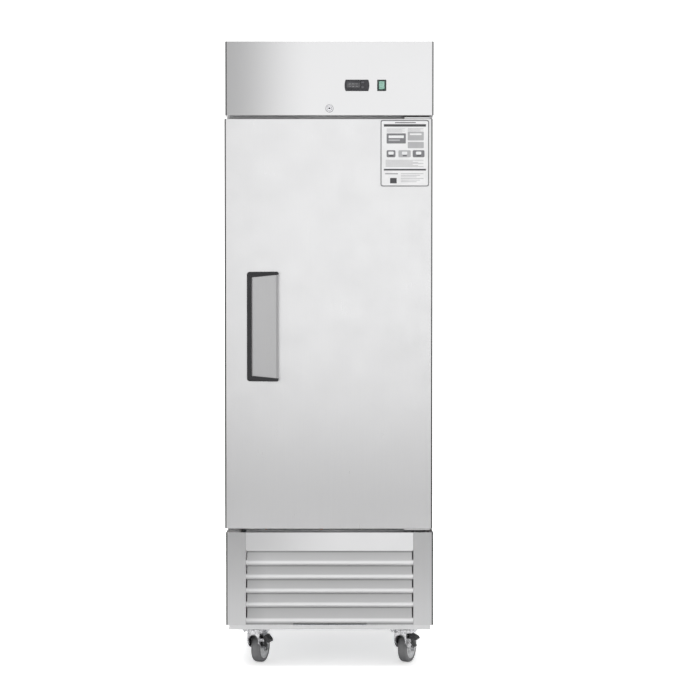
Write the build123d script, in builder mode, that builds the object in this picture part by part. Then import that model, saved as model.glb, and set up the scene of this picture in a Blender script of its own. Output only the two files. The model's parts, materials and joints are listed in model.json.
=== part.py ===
from build123d import *
from math import cos, radians, sin
import os

# One-door reach-in refrigerator on casters. Millimetres, +Z up, front towards -Y,
# origin on the floor under the middle of the cabinet.

os.makedirs("parts", exist_ok=True)

# ---------------------------------------------------------------- driving dimensions
HALF_W = 345.0          # half width of cabinet, header and lower section
FRONT_Y = -360.0        # common front plane of header, door and lower section
FACE_Y = -288.0         # front face of the insulated cabinet
REAR_Y = 400.0
SKIN = 1.2              # stainless sheet
RAIL_Z = 128.5          # underside of base rails, top of caster plates
BASE_Z = 145.0          # top of base pan
DECK_Z = 455.0          # top of machine compartment
DOOR_Z0, DOOR_Z1 = 468.0, 1828.0
DOOR_X0, DOOR_X1 = -348.0, 342.0
HEADER_Z0, HEADER_Z1 = 1839.0, 2083.0
CAB_TOP = 2075.0

MOUTH_X = 288.0         # half width of the interior
INNER_BACK = 345.0
INNER_Z0, INNER_Z1 = 514.0, 1995.0
MOUTH_Z1 = 1782.0       # top of the door opening
HEAD_WALL = 56.0        # depth of the insulated wall behind the header
LINER = 1.0
SLAB_GAP = 0.4          # joint between cast foam slabs

PILLAR_X = 279.0        # inner edge of the lower front pillars
RETURN_Y = -296.0       # back edge of front flanges, clear of the hinge leaves
FASCIA_Z0 = 393.5
LOUVER_ZS = (355.3, 308.7, 262.1, 215.5, 162.0)   # nose heights, the lowest set a little further down
LOUVER_LAP, LOUVER_SET_BACK = 0.4, 10.0           # how far a face rises behind the lip above, and leans back
LOUVER_T = 1.2
LOUVER_LIP_Z, LOUVER_LIP_Y = 12.0, 3.5
LOUVER_BAND, LOUVER_BEND_R = 5.0, 2.0   # half height of the upright nose band, and its bend radius
LOUVER_ENDS = 274.5     # half width of the sloping faces between the noses
LOUVER_FLANGE = 12.0    # level flange behind the top of each sloping face
SLIT_HALF_W, SLIT_H = 123.0, 5.0        # slit under the lowest lip, open to the compartment

HINGE_X, HINGE_Y = 322.0, -330.0
HINGE_PIN_R, RUN_FIT = 5.0, 0.05
LEAF_T = 5.0
LEAF_X0, LEAF_X1 = 249.0, 334.0
BUSH_R, BUSH_LEN, BUSH_FLANGE_R = 9.0, 20.0, 12.0

LOCK_X, LOCK_Z = 0.0, 1862.0
LOCK_R, CAM_REACH, CAM_W = 7.5, 44.0, 12.0
CAM_Y0, CAM_Y1 = -338.0, -335.0
PANEL_Z = 1938.0        # centre height of controller and switch
CTRL_X, CTRL_W, CTRL_H, CTRL_PROUD = 91.0, 82.0, 37.0, 4.0
SWITCH_X, SWITCH_W, SWITCH_H, SWITCH_PROUD = 173.0, 30.0, 37.0, 3.0
BUTTON_X, BUTTON_ZS = 110.0, (1947.0, 1931.0)

DOOR_BACK_Y = -300.0
SEAL_INSET, SEAL_W = 18.0, 16.0
SEAL_Y = -288.6
HANDLE_X0, HANDLE_X1 = -273.0, -169.0
HANDLE_Z0, HANDLE_Z1 = 959.0, 1321.0
HANDLE_FRONT = -400.0
BAR_W = 14.0

SHELF_ZS = (756.0, 1076.0, 1396.0)
PILASTER_YS = (-190.0, 265.0)
PILASTER_T, PILASTER_W = 7.0, 24.0

CASTER_X, CASTER_YS = 248.0, (-290.0, 305.0)
WHEEL_R, WHEEL_W, TRAIL = 50.0, 32.0, 35.0
TREAD = 13.0
AXLE_R, FORK_IN, FORK_T = 6.0, 19.0, 3.0
KING_R = 5.0


def block(low, high, mode=Mode.ADD):
    """Add a box given by two opposite corners."""
    middle = [(a + b) / 2 for a, b in zip(low, high)]
    size = [b - a for a, b in zip(low, high)]
    with Locations(tuple(middle)):
        Box(*size, mode=mode)


def rod(centre, radius, length, axis="Z", mode=Mode.ADD):
    """Add a cylinder centred on a point, along one of the main axes."""
    turn = {"X": (0, 90, 0), "Y": (90, 0, 0), "Z": (0, 0, 0)}[axis]
    with Locations(centre):
        Cylinder(radius, length, rotation=turn, mode=mode)


def save(builder, name):
    """Label a finished part and write its file."""
    builder.part.label = name
    export_step(builder.part, f"parts/{name}.step")


# ================================================================= cabinet shell
REAR_FLANGE = 18.0

with BuildPart() as side_panels:
    with BuildSketch(Plane.XY.offset(BASE_Z)):
        for side in (-1, 1):
            with Locations((side * (HALF_W - SKIN / 2), (FACE_Y + REAR_Y) / 2)):
                Rectangle(SKIN, REAR_Y - FACE_Y)
            with Locations((side * (HALF_W - REAR_FLANGE / 2), REAR_Y - SKIN / 2)):
                Rectangle(REAR_FLANGE, SKIN)
    extrude(amount=CAB_TOP - BASE_Z)
save(side_panels, "side_panels")

with BuildPart() as top_panel:
    with BuildSketch(Plane.XY.offset(CAB_TOP - SKIN)):
        with Locations((0, (FACE_Y + REAR_Y - SKIN) / 2)):
            Rectangle(2 * (HALF_W - SKIN), REAR_Y - SKIN - FACE_Y)
    extrude(amount=SKIN)
save(top_panel, "top_panel")

BACK_HALF_W = HALF_W - REAR_FLANGE - 0.3
with BuildPart() as back_panel:
    with BuildSketch(Plane.XZ.offset(-REAR_Y)):
        with Locations((0, (DECK_Z + CAB_TOP) / 2)):
            Rectangle(2 * BACK_HALF_W, CAB_TOP - DECK_Z)
    extrude(amount=SKIN)
    with BuildSketch(Plane.XZ.offset(-REAR_Y)):
        with GridLocations(2 * BACK_HALF_W - 24, (CAB_TOP - DECK_Z - 60) / 2, 2, 3):
            with Locations((0, (DECK_Z + CAB_TOP) / 2)):
                Circle(2.4)
    extrude(amount=SKIN, mode=Mode.SUBTRACT)
save(back_panel, "back_panel")

FOAM_X, FOAM_BACK = MOUTH_X + LINER, INNER_BACK + LINER
FOAM_Z0, FOAM_Z1 = INNER_Z0 - LINER, INNER_Z1 + LINER
FOAM_FRONT = FACE_Y + 2.0
SHELL_X, SHELL_BACK = HALF_W - SKIN, REAR_Y - SKIN
SHELL_Z0, SHELL_Z1 = DECK_Z + SKIN, CAB_TOP - SKIN
HEAD_Y = FOAM_FRONT + HEAD_WALL
with BuildPart() as foam_insulation:
    for side in (-1, 1):
        edges = sorted((side * (FOAM_X + SLAB_GAP), side * SHELL_X))
        block((edges[0], FOAM_FRONT, SHELL_Z0), (edges[1], SHELL_BACK, SHELL_Z1))
    block((-FOAM_X, FOAM_BACK, SHELL_Z0), (FOAM_X, SHELL_BACK, SHELL_Z1))
    block((-FOAM_X, FOAM_FRONT, SHELL_Z0), (FOAM_X, FOAM_BACK - SLAB_GAP, FOAM_Z0))
    block((-FOAM_X, FOAM_FRONT, FOAM_Z1), (FOAM_X, FOAM_BACK - SLAB_GAP, SHELL_Z1))
    block((-FOAM_X, FOAM_FRONT, MOUTH_Z1 + LINER), (FOAM_X, HEAD_Y - LINER, FOAM_Z1 - SLAB_GAP))
save(foam_insulation, "foam_insulation")

COVE_R = 12.0
with BuildPart() as interior_liner:
    with BuildSketch(Plane.YZ):
        with BuildLine():
            Polyline(
                (FOAM_FRONT, FOAM_Z0),
                (FOAM_BACK, FOAM_Z0),
                (FOAM_BACK, FOAM_Z1),
                (HEAD_Y - LINER, FOAM_Z1),
                (HEAD_Y - LINER, MOUTH_Z1 + LINER),
                (FOAM_FRONT, MOUTH_Z1 + LINER),
                close=True,
            )
        make_face()
    extrude(amount=FOAM_X, both=True)
    with BuildSketch(Plane.YZ):
        with BuildLine():
            Polyline(
                (FOAM_FRONT, INNER_Z0),
                (INNER_BACK, INNER_Z0),
                (INNER_BACK, INNER_Z1),
                (HEAD_Y, INNER_Z1),
                (HEAD_Y, MOUTH_Z1),
                (FOAM_FRONT, MOUTH_Z1),
                close=True,
            )
        make_face()
    extrude(amount=MOUTH_X, both=True, mode=Mode.SUBTRACT)
    back_corners = interior_liner.edges().filter_by(Axis.Z).filter_by(
        lambda e: abs(e.center().Y - INNER_BACK) < 0.01 and abs(abs(e.center().X) - MOUTH_X) < 0.01
    )
    fillet(back_corners, radius=COVE_R)
save(interior_liner, "interior_liner")

with BuildPart() as face_frame:
    with BuildSketch(Plane.XZ.offset(-FOAM_FRONT)):
        with Locations((0, (SHELL_Z0 + SHELL_Z1) / 2)):
            Rectangle(2 * SHELL_X, SHELL_Z1 - SHELL_Z0)
        with Locations((0, (INNER_Z0 + MOUTH_Z1) / 2)):
            RectangleRounded(2 * MOUTH_X, MOUTH_Z1 - INNER_Z0, 4, mode=Mode.SUBTRACT)
    extrude(amount=FOAM_FRONT - FACE_Y)
save(face_frame, "face_frame")

# ================================================================= base and machine compartment
PAN_T, PAN_X, PAN_FRONT = 2.0, 336.0, -352.0
PAN_Z0 = BASE_Z - PAN_T
with BuildPart() as base_pan:
    with BuildSketch(Plane.XY.offset(PAN_Z0)):
        with Locations((0, (PAN_FRONT + SHELL_BACK - 2) / 2)):
            RectangleRounded(2 * PAN_X, SHELL_BACK - 2 - PAN_FRONT, 4)
        with GridLocations(30, 60, 6, 3):
            SlotOverall(50, 8, rotation=90, mode=Mode.SUBTRACT)
    extrude(amount=PAN_T)
save(base_pan, "base_pan")

RAIL_D, RAIL_SIDE_W, RAIL_WALL = 130.0, 40.0, 2.5
REAR_RAIL_Y1 = 390.0
with BuildPart() as base_rails:
    for y0 in (PAN_FRONT, REAR_RAIL_Y1 - RAIL_D):
        block((-PAN_X, y0, RAIL_Z), (PAN_X, y0 + RAIL_D, PAN_Z0))
        block(
            (-PAN_X + RAIL_WALL, y0 + RAIL_WALL, RAIL_Z + RAIL_WALL),
            (PAN_X - RAIL_WALL, y0 + RAIL_D - RAIL_WALL, PAN_Z0),
            Mode.SUBTRACT,
        )
    for side in (-1, 1):
        edges = sorted((side * PAN_X, side * (PAN_X - RAIL_SIDE_W)))
        y0, y1 = PAN_FRONT + RAIL_D + SLAB_GAP, REAR_RAIL_Y1 - RAIL_D - SLAB_GAP
        block((edges[0], y0, RAIL_Z), (edges[1], y1, PAN_Z0))
        block(
            (edges[0] + RAIL_WALL, y0, RAIL_Z + RAIL_WALL),
            (edges[1] - RAIL_WALL, y1, PAN_Z0),
            Mode.SUBTRACT,
        )
save(base_rails, "base_rails")

with BuildPart() as lower_pillars:
    with BuildSketch(Plane.XY.offset(BASE_Z)):
        for side in (-1, 1):
            with BuildLine():
                Polyline(
                    (side * HALF_W, FACE_Y - 0.3),
                    (side * HALF_W, FRONT_Y),
                    (side * PILLAR_X, FRONT_Y),
                    (side * PILLAR_X, RETURN_Y),
                )
                offset(amount=SKIN, side=Side.LEFT if side < 0 else Side.RIGHT)
            make_face()
    extrude(amount=DECK_Z - BASE_Z)
    bends = lower_pillars.edges().filter_by(Axis.Z).filter_by(lambda e: e.center().Y < FRONT_Y + 0.01)
    fillet(bends, radius=1.0)
save(lower_pillars, "lower_pillars")

FIT = 0.3
FASCIA_LIP = 16.0
with BuildPart() as fascia_panel:
    with BuildSketch(Plane.YZ):
        with BuildLine():
            Polyline(
                (RETURN_Y, DECK_Z),
                (FRONT_Y, DECK_Z),
                (FRONT_Y, FASCIA_Z0),
                (FRONT_Y + FASCIA_LIP, FASCIA_Z0),
            )
            offset(amount=SKIN, side=Side.LEFT)
        make_face()
    extrude(amount=PILLAR_X - FIT, both=True)
    fillet(
        fascia_panel.edges().filter_by(Axis.X).filter_by(lambda e: e.center().Y < FRONT_Y + 0.01),
        radius=1.0,
    )
save(fascia_panel, "fascia_panel")

with BuildPart() as louver_blades:
    crest = FASCIA_Z0 - FIT
    for nose in LOUVER_ZS:
        lip = BASE_Z + FIT if nose == LOUVER_ZS[-1] else nose - LOUVER_LIP_Z
        with BuildSketch(Plane.YZ):
            with BuildLine():
                FilletPolyline(
                    (FRONT_Y + LOUVER_SET_BACK + LOUVER_FLANGE, crest),
                    (FRONT_Y + LOUVER_SET_BACK, crest),
                    (FRONT_Y + 1, nose + LOUVER_BAND),
                    (FRONT_Y, nose - LOUVER_BAND),
                    (FRONT_Y + LOUVER_LIP_Y, lip),
                    radius=LOUVER_BEND_R,
                )
                offset(amount=LOUVER_T, side=Side.LEFT)
            make_face()
        extrude(amount=PILLAR_X - FIT, both=True)
        for side in (-1, 1):
            edges = sorted((side * LOUVER_ENDS, side * PILLAR_X))
            block(
                (edges[0], FRONT_Y - 1, nose + LOUVER_BAND + 3),
                (edges[1], FRONT_Y + 2 * LOUVER_SET_BACK + LOUVER_FLANGE, crest + 1),
                Mode.SUBTRACT,
            )
        crest = lip + LOUVER_LAP
    block(
        (-SLIT_HALF_W, FRONT_Y - 1, BASE_Z),
        (SLIT_HALF_W, FRONT_Y + LOUVER_SET_BACK, BASE_Z + SLIT_H),
        Mode.SUBTRACT,
    )
save(louver_blades, "louver_blades")

GRILLE_Y = 388.0
INLET_X, INLET_Z = 280.0, 215.0
with BuildPart() as rear_grille:
    with BuildSketch(Plane.XZ.offset(-GRILLE_Y - SKIN)):
        with Locations((0, (BASE_Z + DECK_Z) / 2)):
            Rectangle(2 * (SHELL_X - FIT), DECK_Z - BASE_Z - 1)
        with Locations((-60, (BASE_Z + DECK_Z) / 2)):
            with GridLocations(120, 24, 4, 9):
                SlotOverall(100, 9, mode=Mode.SUBTRACT)
        with Locations((INLET_X, INLET_Z)):
            Circle(12, mode=Mode.SUBTRACT)
    extrude(amount=SKIN)
save(rear_grille, "rear_grille")

# Hermetic compressor: drawn shell on a foot plate with four rubber-bushed studs.
COMP_X, COMP_Y, COMP_R = 140.0, 205.0, 88.0
FOOT_Z = BASE_Z + 18.0
with BuildPart() as compressor:
    rod((COMP_X, COMP_Y, FOOT_Z + 99), COMP_R, 190)
    fillet(compressor.edges().group_by(Axis.Z)[-1], radius=58)
    fillet(compressor.edges().group_by(Axis.Z)[0], radius=22)
    rod((COMP_X, COMP_Y, FOOT_Z + 92), COMP_R + 4, 8)
    with BuildSketch(Plane.XY.offset(FOOT_Z)):
        with Locations((COMP_X, COMP_Y)):
            RectangleRounded(216, 150, 20)
    extrude(amount=5)
    with BuildSketch(Plane.XY.offset(BASE_Z)):
        with Locations((COMP_X, COMP_Y)):
            with GridLocations(176, 112, 2, 2):
                Circle(11)
    extrude(amount=FOOT_Z - BASE_Z)
    block((COMP_X - 130, COMP_Y - 32, FOOT_Z + 50), (COMP_X - 80, COMP_Y + 32, FOOT_Z + 120))
save(compressor, "compressor")

# Condenser: fin pack with grooved faces, end plates and return bends.
COIL_X, COIL_Y0, COIL_Y1, COIL_Z0, COIL_Z1 = 172.0, -272.0, -222.0, 150.0, 430.0
FIN_PITCH, FIN_COUNT = 8.0, 41
BEND_TUBE_R = 4.5


def fin_pack(half_x, y0, y1, z0, z1, count, pitch):
    """Fin block with vertical grooves cut in its front and rear faces."""
    block((-half_x, y0, z0), (half_x, y1, z1))
    with Locations((0, y0, (z0 + z1) / 2), (0, y1, (z0 + z1) / 2)):
        with GridLocations(pitch, 1, count, 1):
            Box(pitch / 2, 16, z1 - z0 - 8, mode=Mode.SUBTRACT)


def return_bends(x, ys, z0, z1, pitch, radius):
    """Hairpin bends of the coil tubes, standing out of an end plate."""
    rows = int((z1 - z0) / pitch)
    for y in ys:
        for row in range(rows):
            z = z0 + pitch * (row + 0.5)
            for dz in (-pitch / 4, pitch / 4):
                rod((x, y, z + dz), radius, 24, "X")
            rod((x + (9 if x > 0 else -9), y, z), radius, pitch / 2, "Z")


with BuildPart() as condenser_coil:
    fin_pack(COIL_X, COIL_Y0, COIL_Y1, COIL_Z0, COIL_Z1, FIN_COUNT, FIN_PITCH)
    for side in (-1, 1):
        edges = sorted((side * COIL_X, side * (COIL_X + 2)))
        block((edges[0], COIL_Y0 - 6, BASE_Z), (edges[1], COIL_Y1 + 1, COIL_Z1 + 8))
    return_bends(COIL_X + 8, (COIL_Y0 + 12, COIL_Y1 - 12), COIL_Z0, COIL_Z1, 56, BEND_TUBE_R)
save(condenser_coil, "condenser_coil")

FAN_Z, FAN_R = 290.0, 118.0
SHROUD_Y0, SHROUD_Y1 = -220.0, -165.0
with BuildPart() as condenser_shroud:
    block((-COIL_X, SHROUD_Y0, COIL_Z0), (COIL_X, SHROUD_Y1, COIL_Z1))
    block(
        (-COIL_X + 1.5, SHROUD_Y0, COIL_Z0 + 1.5),
        (COIL_X - 1.5, SHROUD_Y1 - 1.5, COIL_Z1 - 1.5),
        Mode.SUBTRACT,
    )
    rod((0, SHROUD_Y1, FAN_Z), FAN_R + 3, 24, "Y")
    rod((0, SHROUD_Y1, FAN_Z), FAN_R, 60, "Y", Mode.SUBTRACT)
save(condenser_shroud, "condenser_shroud")

SHAFT_R = 4.0
HUB_ROOT = 5.0          # how far a fan blade runs into its hub
with BuildPart() as condenser_fan_motor:
    rod((0, -115, FAN_Z), 42, 60, "Y")
    rod((0, -149, FAN_Z), 16, 8, "Y")
    rod((0, -165, FAN_Z), SHAFT_R, 50, "Y")
    with Locations(Plane.XZ.offset(120) * Location((0, FAN_Z, 0))):
        with PolarLocations(70, 3, start_angle=90):
            Box(104, 12, 2.5)
    for turn in (90, 210, 330):
        x, z = FAN_R * cos(radians(turn)), FAN_Z + FAN_R * sin(radians(turn))
        rod((x, -136.5, z), 5, 33, "Y")
save(condenser_fan_motor, "condenser_fan_motor")


def fan_blade(centre, blade_r, hub_r, blade_w, depth):
    """Axial fan on an axis along Y: pitched blades round a bored hub."""
    with Locations(Plane(origin=centre, x_dir=(1, 0, 0), z_dir=(0, -1, 0))):
        Cylinder(hub_r, depth)
        with PolarLocations((blade_r + hub_r - HUB_ROOT) / 2, 5):
            Box(blade_r - hub_r + HUB_ROOT, blade_w, 1.8, rotation=(24, 0, 0))
        Cylinder(SHAFT_R + RUN_FIT, depth + 2, mode=Mode.SUBTRACT)


with BuildPart() as condenser_fan_blade:
    fan_blade((0, -181, FAN_Z), FAN_R - 10, 24, 58, 26)
save(condenser_fan_blade, "condenser_fan_blade")

# Copper lines: discharge, liquid line with its filter drier, and suction line up to the deck.
TUBE_R = 4.0


def tube(points, radius):
    """Bent tube through a list of points."""
    with BuildLine(mode=Mode.PRIVATE) as run:
        FilletPolyline(*points, radius=14)
    start = run.wires()[0]
    ring = Plane(origin=start @ 0, z_dir=start % 0)
    with BuildSketch(ring, mode=Mode.PRIVATE) as section:
        Circle(radius)
    sweep(section.sketch, path=start)


with BuildPart() as refrigerant_pipes:
    tube([(100, 113, 215), (100, 60, 215), (230, 60, 215), (230, -247, 215), (185, -247, 215)], TUBE_R)
    tube([(-176, -247, 168), (-250, -247, 168), (-250, 40, 168)], TUBE_R)
    rod((-250, 100, 168), 14, 120, "Y")
    tube([(-250, 160, 168), (-250, 330, 168), (-250, 330, DECK_Z)], TUBE_R)
    tube([(180, 113, 235), (180, 40, 235), (-40, 40, 235), (-40, 330, 235), (-40, 330, DECK_Z)], 6)
save(refrigerant_pipes, "refrigerant_pipes")

with BuildPart() as power_inlet:
    rod((INLET_X, GRILLE_Y - 6, INLET_Z), 11.8, 30, "Y")
    rod((INLET_X, GRILLE_Y - 5.6, INLET_Z), 16, 10, "Y")
    with BuildSketch(Plane.XZ.offset(-GRILLE_Y - SKIN - 8)):
        with Locations((INLET_X, INLET_Z)):
            RegularPolygon(16, 6)
    extrude(amount=8)
    rod((INLET_X, GRILLE_Y, INLET_Z), 6, 60, "Y", Mode.SUBTRACT)
save(power_inlet, "power_inlet")

# ================================================================= interior fittings
EVAP_X, EVAP_Y0, EVAP_Y1, EVAP_Z0 = 230.0, -200.0, 300.0, 1800.0
EVAP_FAN_Z, EVAP_FAN_R = 1898.0, 82.0
with BuildPart() as evaporator_housing:
    block((-EVAP_X, EVAP_Y0, EVAP_Z0), (EVAP_X, EVAP_Y1, INNER_Z1))
    block(
        (-EVAP_X + SKIN, EVAP_Y0 + SKIN, EVAP_Z0 + SKIN),
        (EVAP_X - SKIN, EVAP_Y1 + 1, INNER_Z1 + 1),
        Mode.SUBTRACT,
    )
    rod((0, EVAP_Y0, EVAP_FAN_Z), EVAP_FAN_R, 30, "Y", Mode.SUBTRACT)
save(evaporator_housing, "evaporator_housing")

EVAP_COIL_X, EVAP_COIL_Z0, EVAP_COIL_Z1 = 200.0, 1812.0, 1975.0
with BuildPart() as evaporator_coil:
    fin_pack(EVAP_COIL_X, -40, 90, EVAP_COIL_Z0, EVAP_COIL_Z1, 41, 9.4)
    for side in (-1, 1):
        edges = sorted((side * EVAP_COIL_X, side * (EVAP_COIL_X + 2)))
        block((edges[0], -46, EVAP_Z0 + SKIN), (edges[1], 96, 1980))
    return_bends(EVAP_COIL_X + 8, (-20, 25, 70), EVAP_COIL_Z0, EVAP_COIL_Z1, 54, BEND_TUBE_R)
save(evaporator_coil, "evaporator_coil")

with BuildPart() as evaporator_fan_motor:
    rod((0, -108, EVAP_FAN_Z), 32, 50, "Y")
    rod((0, -150, EVAP_FAN_Z), SHAFT_R, 50, "Y")
    block((-15, -86, EVAP_Z0 + SKIN), (15, -83, INNER_Z1))
save(evaporator_fan_motor, "evaporator_fan_motor")

with BuildPart() as evaporator_fan_blade:
    fan_blade((0, -165, EVAP_FAN_Z), EVAP_FAN_R - 6, 18, 44, 20)
save(evaporator_fan_blade, "evaporator_fan_blade")

with BuildPart() as interior_lamp:
    with BuildSketch(Plane.YZ):
        with Locations((-178, EVAP_Z0 - 6)):
            RectangleRounded(28, 12, 3)
    extrude(amount=170, both=True)
save(interior_lamp, "interior_lamp")

PIL_Z0, PIL_Z1, SLOT_PITCH, SLOT_COUNT = 540.0, 1700.0, 40.0, 29
with BuildPart() as shelf_pilasters:
    for side in (-1, 1):
        edges = sorted((side * MOUTH_X, side * (MOUTH_X - PILASTER_T)))
        inner = side * (MOUTH_X - PILASTER_T)
        for y in PILASTER_YS:
            block((edges[0], y - PILASTER_W / 2, PIL_Z0), (edges[1], y + PILASTER_W / 2, PIL_Z1))
            slots = [
                (inner, y, (PIL_Z0 + PIL_Z1) / 2 + SLOT_PITCH * (n - (SLOT_COUNT - 1) / 2))
                for n in range(SLOT_COUNT)
            ]
            with Locations(*slots):
                Box(6, 12, 6, mode=Mode.SUBTRACT)
save(shelf_pilasters, "shelf_pilasters")

SHELF_X, SHELF_Y0, SHELF_Y1 = 266.0, -225.0, 318.0
ROD_R, WIRE_R, WIRE_COUNT = 4.0, 2.4, 19
with BuildPart() as wire_shelves:
    for z in SHELF_ZS:
        for side in (-1, 1):
            rod((side * SHELF_X, (SHELF_Y0 + SHELF_Y1) / 2, z), ROD_R, SHELF_Y1 - SHELF_Y0, "Y")
        for y in (SHELF_Y0 + ROD_R, 46.5, SHELF_Y1 - ROD_R):
            rod((0, y, z), ROD_R, 2 * SHELF_X, "X")
        for n in range(WIRE_COUNT):
            x = (n - (WIRE_COUNT - 1) / 2) * 2 * SHELF_X / (WIRE_COUNT + 1)
            rod((x, (SHELF_Y0 + SHELF_Y1) / 2, z + 1), WIRE_R, SHELF_Y1 - SHELF_Y0 - 2 * ROD_R, "Y")
save(wire_shelves, "wire_shelves")

with BuildPart() as shelf_clips:
    for z in SHELF_ZS:
        for y in PILASTER_YS:
            for side in (-1, 1):
                edges = sorted((side * (MOUTH_X - PILASTER_T), side * (SHELF_X - 6)))
                block((edges[0], y - 8, z - ROD_R - 5), (edges[1], y + 8, z - ROD_R))
                lip = sorted((side * (SHELF_X + ROD_R + 1), side * (SHELF_X + ROD_R + 3)))
                block((lip[0], y - 8, z - ROD_R), (lip[1], y + 8, z + 4))
save(shelf_clips, "shelf_clips")

# ================================================================= header with its controls
with BuildPart() as header_cover:
    block((-HALF_W, FRONT_Y, HEADER_Z0), (HALF_W, FACE_Y - FIT, HEADER_Z1))
    fillet(
        header_cover.edges().filter_by(Axis.Z).filter_by(lambda e: e.center().Y < FRONT_Y + 0.01),
        radius=3,
    )
    fillet(header_cover.edges().group_by(Axis.Y)[0], radius=1.0)
    block(
        (-HALF_W + SKIN, FRONT_Y + SKIN, HEADER_Z0 + SKIN),
        (HALF_W - SKIN, FACE_Y, HEADER_Z1 - SKIN),
        Mode.SUBTRACT,
    )
    block((-HALF_W + 6, RETURN_Y, HEADER_Z0 - 1), (HALF_W - 6, FACE_Y, HEADER_Z0 + SKIN + 1), Mode.SUBTRACT)
    block(
        (-CAM_W / 2 - 3, CAM_Y0 - 3, HEADER_Z0 - 1),
        (CAM_REACH, CAM_Y1 + 3, HEADER_Z0 + SKIN + 1),
        Mode.SUBTRACT,
    )
    rod((LOCK_X, FRONT_Y, LOCK_Z), 9.5, 10, "Y", Mode.SUBTRACT)
    with BuildSketch(Plane.XZ.offset(-FRONT_Y)):
        with Locations((CTRL_X, PANEL_Z)):
            Rectangle(71, 29)
        with Locations((SWITCH_X, PANEL_Z)):
            Rectangle(24, 33)
    extrude(amount=-2 * SKIN, mode=Mode.SUBTRACT)
save(header_cover, "header_cover")

BEZEL_Y = FRONT_Y - CTRL_PROUD
BULGE = 3.5
WINDOW_X0, WINDOW_X1, WINDOW_H = 57.0, 101.0, 25.0
with BuildPart() as controller_housing:
    with BuildSketch(Plane.XZ.offset(-FRONT_Y)):
        with BuildLine():
            left, right = CTRL_X - CTRL_W / 2 + BULGE, CTRL_X + CTRL_W / 2 - BULGE
            low, high = PANEL_Z - CTRL_H / 2, PANEL_Z + CTRL_H / 2
            Line((left, high), (right, high))
            ThreePointArc((right, high), (right + BULGE, PANEL_Z), (right, low))
            Line((right, low), (left, low))
            ThreePointArc((left, low), (left - BULGE, PANEL_Z), (left, high))
        make_face()
    extrude(amount=CTRL_PROUD)
    fillet(controller_housing.edges().group_by(Axis.Y)[0], radius=1.2)
    block((CTRL_X - 35, FRONT_Y, PANEL_Z - 14), (CTRL_X + 35, FRONT_Y + 55, PANEL_Z + 14))
    block(
        (WINDOW_X0, BEZEL_Y - 1, PANEL_Z - WINDOW_H / 2),
        (WINDOW_X1, BEZEL_Y + 1.2, PANEL_Z + WINDOW_H / 2),
        Mode.SUBTRACT,
    )
    for z in BUTTON_ZS:
        block((BUTTON_X - 5.4, BEZEL_Y - 1, z - 3.9), (BUTTON_X + 5.4, BEZEL_Y + 3.4, z + 3.9), Mode.SUBTRACT)
save(controller_housing, "controller_housing")

with BuildPart() as controller_window:
    block(
        (WINDOW_X0 + 0.1, BEZEL_Y, PANEL_Z - WINDOW_H / 2 + 0.1),
        (WINDOW_X1 - 0.1, BEZEL_Y + 1.2, PANEL_Z + WINDOW_H / 2 - 0.1),
    )
save(controller_window, "controller_window")

for name, z in zip(("button_up", "button_down"), BUTTON_ZS):
    with BuildPart() as button:
        with BuildSketch(Plane.XZ.offset(-BEZEL_Y - 2)):
            with Locations((BUTTON_X, z)):
                RectangleRounded(10, 7, 2)
        extrude(amount=3.2)
        fillet(button.edges().group_by(Axis.Y)[0], radius=0.8)
    save(button, name)

ROCKER_TILT, ROCKER_HALF_H, ROCKER_HALF_W = 8.0, 13.8, 9.0
ROCKER_Y = FRONT_Y - 1.0
with BuildPart() as rocker_frame:
    with BuildSketch(Plane.XZ.offset(-FRONT_Y)):
        with Locations((SWITCH_X, PANEL_Z)):
            RectangleRounded(SWITCH_W, SWITCH_H, 2)
    extrude(amount=SWITCH_PROUD)
    fillet(rocker_frame.edges().group_by(Axis.Y)[0], radius=0.8)
    block((SWITCH_X - 11.5, FRONT_Y, PANEL_Z - 16), (SWITCH_X + 11.5, FRONT_Y + 26, PANEL_Z + 16))
    block(
        (SWITCH_X - 9.5, FRONT_Y - 5, PANEL_Z - 15),
        (SWITCH_X + 9.5, FRONT_Y + 12, PANEL_Z + 15),
        Mode.SUBTRACT,
    )
save(rocker_frame, "rocker_frame")

with BuildPart() as rocker:
    with Locations(Location((SWITCH_X, ROCKER_Y, PANEL_Z), (-ROCKER_TILT, 0, 0))):
        Box(2 * ROCKER_HALF_W, 7, 2 * ROCKER_HALF_H)
    fillet(rocker.edges().filter_by(Axis.X), radius=1.2)
save(rocker, "rocker")

BARREL_BACK = -339.0
with BuildPart() as lock_barrel:
    rod((LOCK_X, FRONT_Y - 2, LOCK_Z), 12.5, 4, "Y")
    fillet(lock_barrel.edges().group_by(Axis.Y)[0], radius=1.5)
    rod((LOCK_X, (FRONT_Y + BARREL_BACK) / 2, LOCK_Z), 9.3, BARREL_BACK - FRONT_Y, "Y")
    rod((LOCK_X, FRONT_Y, LOCK_Z), LOCK_R + 0.1, 60, "Y", Mode.SUBTRACT)
save(lock_barrel, "lock_barrel")

PLUG_FRONT = FRONT_Y - 4.5
with BuildPart() as lock_cylinder:
    rod((LOCK_X, (PLUG_FRONT + CAM_Y1) / 2, LOCK_Z), LOCK_R, CAM_Y1 - PLUG_FRONT, "Y")
    block((LOCK_X, CAM_Y0, LOCK_Z - CAM_W / 2), (LOCK_X + CAM_REACH, CAM_Y1, LOCK_Z + CAM_W / 2))
    rod((LOCK_X, (CAM_Y0 + CAM_Y1) / 2, LOCK_Z), 10, CAM_Y1 - CAM_Y0, "Y")
    block(
        (LOCK_X - 4.5, PLUG_FRONT - 1, LOCK_Z - 0.9),
        (LOCK_X + 4.5, PLUG_FRONT + 6, LOCK_Z + 0.9),
        Mode.SUBTRACT,
    )
save(lock_cylinder, "lock_cylinder")

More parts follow.
